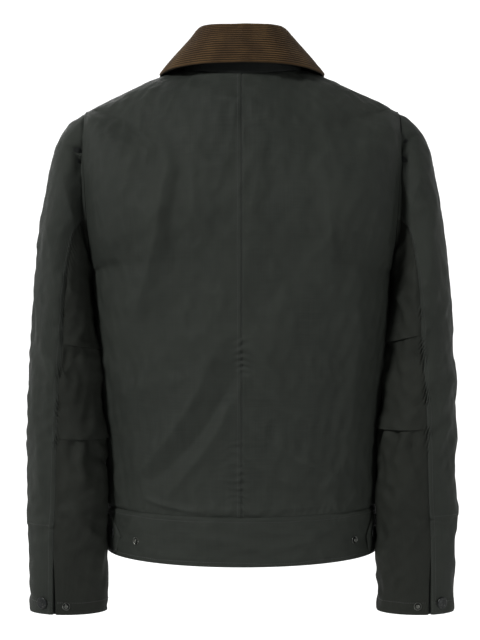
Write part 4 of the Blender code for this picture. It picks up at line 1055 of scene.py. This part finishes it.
def collar_ends(station):
    row = read_table(COLLAR, station)
    return np.array(row[1:4]), np.array(row[4:])


def collar_out(station):
    """Level direction away from the neck at a station of the fold line."""
    before, after = collar_ends(max(station - 0.05, 0))[0], collar_ends(min(station + 0.05, LAST_STATION))[0]
    along = np.array((1.0, 0, 0)) if station < 0.05 else after - before
    out = unit(np.array((-along[1], along[0], 0)))
    fold, edge = collar_ends(station)
    return out if out @ (edge - fold) > 0 else -out


def leaf_row(station, shares):
    """Points and outward directions of the collar from inside the neck over its fold to its edge."""
    fold, edge = collar_ends(station)
    out, up = collar_out(station), np.array((0, 0, 1.0))
    start = fold + (out * -np.cos(ROLL) + up * np.sin(ROLL)) * FOLD_RADIUS
    reach = np.linalg.norm(edge - start)
    way = unit(out * np.sin(ROLL) + up * np.cos(ROLL))
    near = start + way * reach * 0.30
    far = edge - unit(edge - start - out * reach * 0.10) * reach * 0.30
    arc = ROLL * FOLD_RADIUS
    run = shares * (arc + reach)
    angle = (run / FOLD_RADIUS)[:, None]
    rolled = out * -np.cos(angle) + up * np.sin(angle)
    t = np.clip((run - arc) / reach, 0, 1)
    leaf = bezier(start, near, far, edge, t)
    ahead = bezier(start, near, far, edge, np.minimum(t + 0.01, 1)) - bezier(start, near, far, edge, t - 0.01)
    away = unit(np.cross(np.array((-out[1], out[0], 0)), ahead))
    away = np.where((away @ out)[:, None] > 0, away, -away)
    in_roll = (run < arc)[:, None]
    return np.where(in_roll, fold + rolled * FOLD_RADIUS, leaf), np.where(in_roll, rolled, away)


def build_leaf():
    shares = np.linspace(0, 1, WALES * 7 + 1)
    rows = [leaf_row(station, shares) for station in stations(62, 64)]
    grid, ways = both_halves(np.array([r[0] for r in rows])), both_halves(np.array([r[1] for r in rows]))
    d = Distances(grid)
    phase = shares * WALES + 0.05 * ripple(grid, 0.05, 101)
    wale = 1 - np.abs(2 * (phase % 1) - 1) ** 1.7
    worn = 1 - 0.25 * smooth(0.2, 1.4, ripple(grid, 0.03, 102))
    ends = clear_of((d.last_column, 0.0015), (d.last_row, 0.0015), (d.first_row, 0.0015))
    height = WALE_RISE * wale * worn * ends - 0.0007 * bell(d.last_column, 0.0012)
    height = height + 0.00030 * ripple(grid, 0.080, 103) * smooth(0, 0.01, d.first_column)
    wear_and_highlight = 0.7 * np.exp(-d.last_column / 0.0020) + 0.25 * bell(shares - 0.12, 0.05)
    outer, inner = grid + ways * height[..., None], grid - ways * CORD_CLOTH
    cloth_piece("collar_leaf", outer, inner, ways, (0.0,) * 4, CORDUROY, np.clip(wear_and_highlight, 0, 1), WAXED,
                "corduroy", extra={"wale": wale})


def build_stand():
    lift = np.array((0, 0, FOLD_RADIUS - CORD_CLOTH - 4 * SEAM_GAP))
    grid = []
    for share in graded(14, True, False, 0.01):
        half = []
        for station in stations(60, 60):
            out = collar_out(station)
            top = collar_ends(station)[0] + out * CLOTH / 2 + lift
            neck = neck_seam(station)
            half.append(neck + (top - neck) * share + out * (0.002 * np.sin(np.pi * share)))
        grid.append(both_halves(np.array(half)))
    grid = np.array(grid)
    normals = normals_of(grid, np.array((0, 0, 0.02)))
    d = Distances(grid)
    height = seam(d.first_row) + pucker(d.first_row, d.across, grid, *STAND_PULL)
    height = height * smooth(0, 0.004, d.last_row)
    outer, inner = grid + normals * height[..., None], grid - normals * CLOTH
    # the stand's outside gets the dark inner cloth: painted shade under the collar leaf
    cloth_piece("collar_stand", outer, inner, normals, (TRIM,) * 4, LINING_AND_PAINTED_SHADE, wear_and_highlight_of(height))


# ------------------------------------------------------------------ zip
ZIP_TOP_LEVEL, ZIP_BOTTOM_LEVEL = 1.8, -1.2
TOOTH_STEP, TOOTH_LENGTH, TOOTH_REACH = 0.0023, 0.00135, 0.0026
TAPE_SECTION = np.array((
    (0.00030, 0.0016), (0.0010, 0.0013), (0.0026, 0.0013), (0.0033, 0.0031), (0.0125, 0.0031),
    (0.0125, 0.0040), (0.0034, 0.0040), (0.0026, 0.0044), (0.0010, 0.0044), (0.00030, 0.0041)))
TOOTH_FACES = ((0, 1, 3, 2), (4, 6, 7, 5), (0, 4, 5, 1), (2, 3, 7, 6), (0, 2, 6, 4), (1, 5, 7, 3))
TOOTH_INSET, TOOTH_DEPTHS, TOOTH_TAPER, TOOTH_THINNING = 0.0006, (0.0009, 0.0035), 0.72, 0.0004


def front_line(level):
    """The fronts' outer face on the centre line, level -1.2 being the hem."""
    if level < -1:
        z = WAIST_SEAM_Z + (level + 1) / 0.2 * (WAIST_SEAM_Z - HEM_Z)
        return panel_row(-1, np.array((0.0,)), False, level_z=z)[0]
    return panel_row(level, np.array((0.0,)), False)[0]


def bevelled(thing, width, segments, limit):
    bevel = thing.modifiers.new("edges", "BEVEL")
    bevel.width, bevel.segments, bevel.limit_method = width, segments, limit


def build_zip():
    levels = np.linspace(ZIP_BOTTOM_LEVEL, ZIP_TOP_LEVEL, 220)
    line = np.array([front_line(level) for level in levels])
    along = unit(np.gradient(line, axis=0))
    normals = np.stack((np.zeros(len(line)), -along[:, 2], along[:, 1]), -1)
    run = length_along(line)
    count = len(TAPE_SECTION)
    for side in (1, -1):
        node = f"zip_tape_{side_name(side)}"
        rings = np.array([[here + np.array((side * x, 0, 0)) - normal * depth for x, depth in TAPE_SECTION]
                          for here, normal in zip(line, normals)])
        faces = tube(len(rings), count)
        if side > 0:
            faces = [face[::-1] for face in faces]
        uv = np.stack(np.meshgrid(run, length_along(TAPE_SECTION), indexing="ij"), -1).reshape(-1, 2)
        dress(mesh_object(f"{node}_woven", rings.reshape(-1, 3), faces, [TAPE], uv=uv,
                          attributes={"wear_and_highlight": np.zeros(len(uv))}), node)
    vertices, faces = [], []
    for n, centre in enumerate(np.arange(TOOTH_STEP, run[-1] - 0.002, TOOTH_STEP / 2)):
        side = 1 if n % 2 else -1
        here, normal = at(centre, run, line), unit(at(centre, run, normals))
        way = np.array((0, -normal[2], normal[1]))
        faces += [tuple(len(vertices) + v for v in face[::side]) for face in TOOTH_FACES]
        for outward, beyond, deep in np.ndindex(2, 2, 2):
            half = TOOTH_LENGTH / 2 * (1.0 if outward else TOOTH_TAPER) * (1 if beyond else -1)
            depth = TOOTH_DEPTHS[deep] + (0 if outward else TOOTH_THINNING) * (-1 if deep else 1)
            across = np.array((side * (-TOOTH_INSET + outward * TOOTH_REACH), 0, 0))
            vertices.append(here + across + way * half - normal * depth)
    teeth = mesh_object("zip_teeth", vertices, faces, [BRASS])
    bevelled(teeth, 0.00015, 1, "ANGLE")
    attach(teeth, "jacket")
    for node in ("zip_slider", "zip_pull"):
        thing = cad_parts[node]
        thing.data.materials.clear()
        thing.data.materials.append(BRASS)
        weld = thing.modifiers.new("weld", "WELD")
        weld.merge_threshold = 0.000002
        bevelled(thing, 0.00018, 2, "ANGLE")


for side in (1, -1):
    for flag in (True, False):
        build_panel(side, flag)
        build_sleeve(side, flag)
    build_band(f"waistband_front_{side_name(side)}", False, side)
    build_cuff(side)
build_band("waistband_back", True)
for tab in TABS:
    build_tab(tab)
build_leaf()
build_stand()
build_zip()
build_stitching("stitching")

# ------------------------------------------------------------------ studio
camera_data = bpy.data.cameras.new("camera")
camera_data.lens, camera_data.sensor_width, camera_data.sensor_fit = 71.0, 36.0, "AUTO"
camera_data.clip_start, camera_data.clip_end = 0.05, 40.0
camera = bpy.data.objects.new("camera", camera_data)
camera.location = (0.0026, 1.70, -0.3360)
camera.rotation_euler = (np.pi / 2, 0.0, np.pi)
scene.collection.objects.link(camera)
scene.camera = camera

STAGE_RADIUS, STAGE_BEND, FLOOR_Z, STAGE_WALL = 6.5, 2.5, -1.05, 6.0
BACK_GLOW, FRONT_GLOW, GLOW_START, GLOW_END = 0.97, 0.05, -0.8, 1.4
WORLD_LIGHT = 0.22
LIGHTS = (
    ("key", (3.0, 2.9, 2.6), (0, 0, -0.35), 0.9, 222),
    ("fill", (-1.8, 2.4, -0.9), (0, 0, -0.40), 0.9, 37),
    ("front_fill", (0.8, -2.8, 1.2), (0, 0, -0.35), 1.6, 40),
)


def build_stage():
    """A pale floor that rises into a round wall, and glows where it lies behind the jacket."""
    level = STAGE_RADIUS - STAGE_BEND
    profile = [(0.0, FLOOR_Z), (level, FLOOR_Z)]
    for turn in np.linspace(0, np.pi / 2, 13)[1:]:
        profile.append((level + STAGE_BEND * np.sin(turn), FLOOR_Z + STAGE_BEND * (1 - np.cos(turn))))
    profile.append((STAGE_RADIUS, FLOOR_Z + STAGE_WALL))
    s = Shader("stage", {"Roughness": 0.9, "Specular IOR Level": 0.1, "Base Color": (0.25, 0.25, 0.25, 1),
                         "Emission Color": (1, 1, 1, 1)})
    glow = s.ramp(s.split(s.place())[1], GLOW_START, GLOW_END, BACK_GLOW, FRONT_GLOW)
    look = s.surface({"Emission Strength": glow})
    stage = turned("stage", profile, np.zeros(3), np.array((0.0, 0.0, 1.0)), [look, look], 96)


def build_light(name, location, target, size, power):
    data = bpy.data.lights.new(name, "AREA")
    data.shape, data.size, data.energy = "SQUARE", size, power
    light = bpy.data.objects.new(name, data)
    light.location = location
    light.rotation_euler = (Vector(target) - Vector(location)).to_track_quat("-Z", "Y").to_euler()
    scene.collection.objects.link(light)


build_stage()
world = bpy.data.worlds.new("studio")
world.use_nodes = True
sky = world.node_tree.nodes["Background"].inputs
sky["Color"].default_value, sky["Strength"].default_value = (1, 1, 1, 1), WORLD_LIGHT
scene.world = world
for light in LIGHTS:
    build_light(*light)
scene.view_settings.view_transform = "Standard"
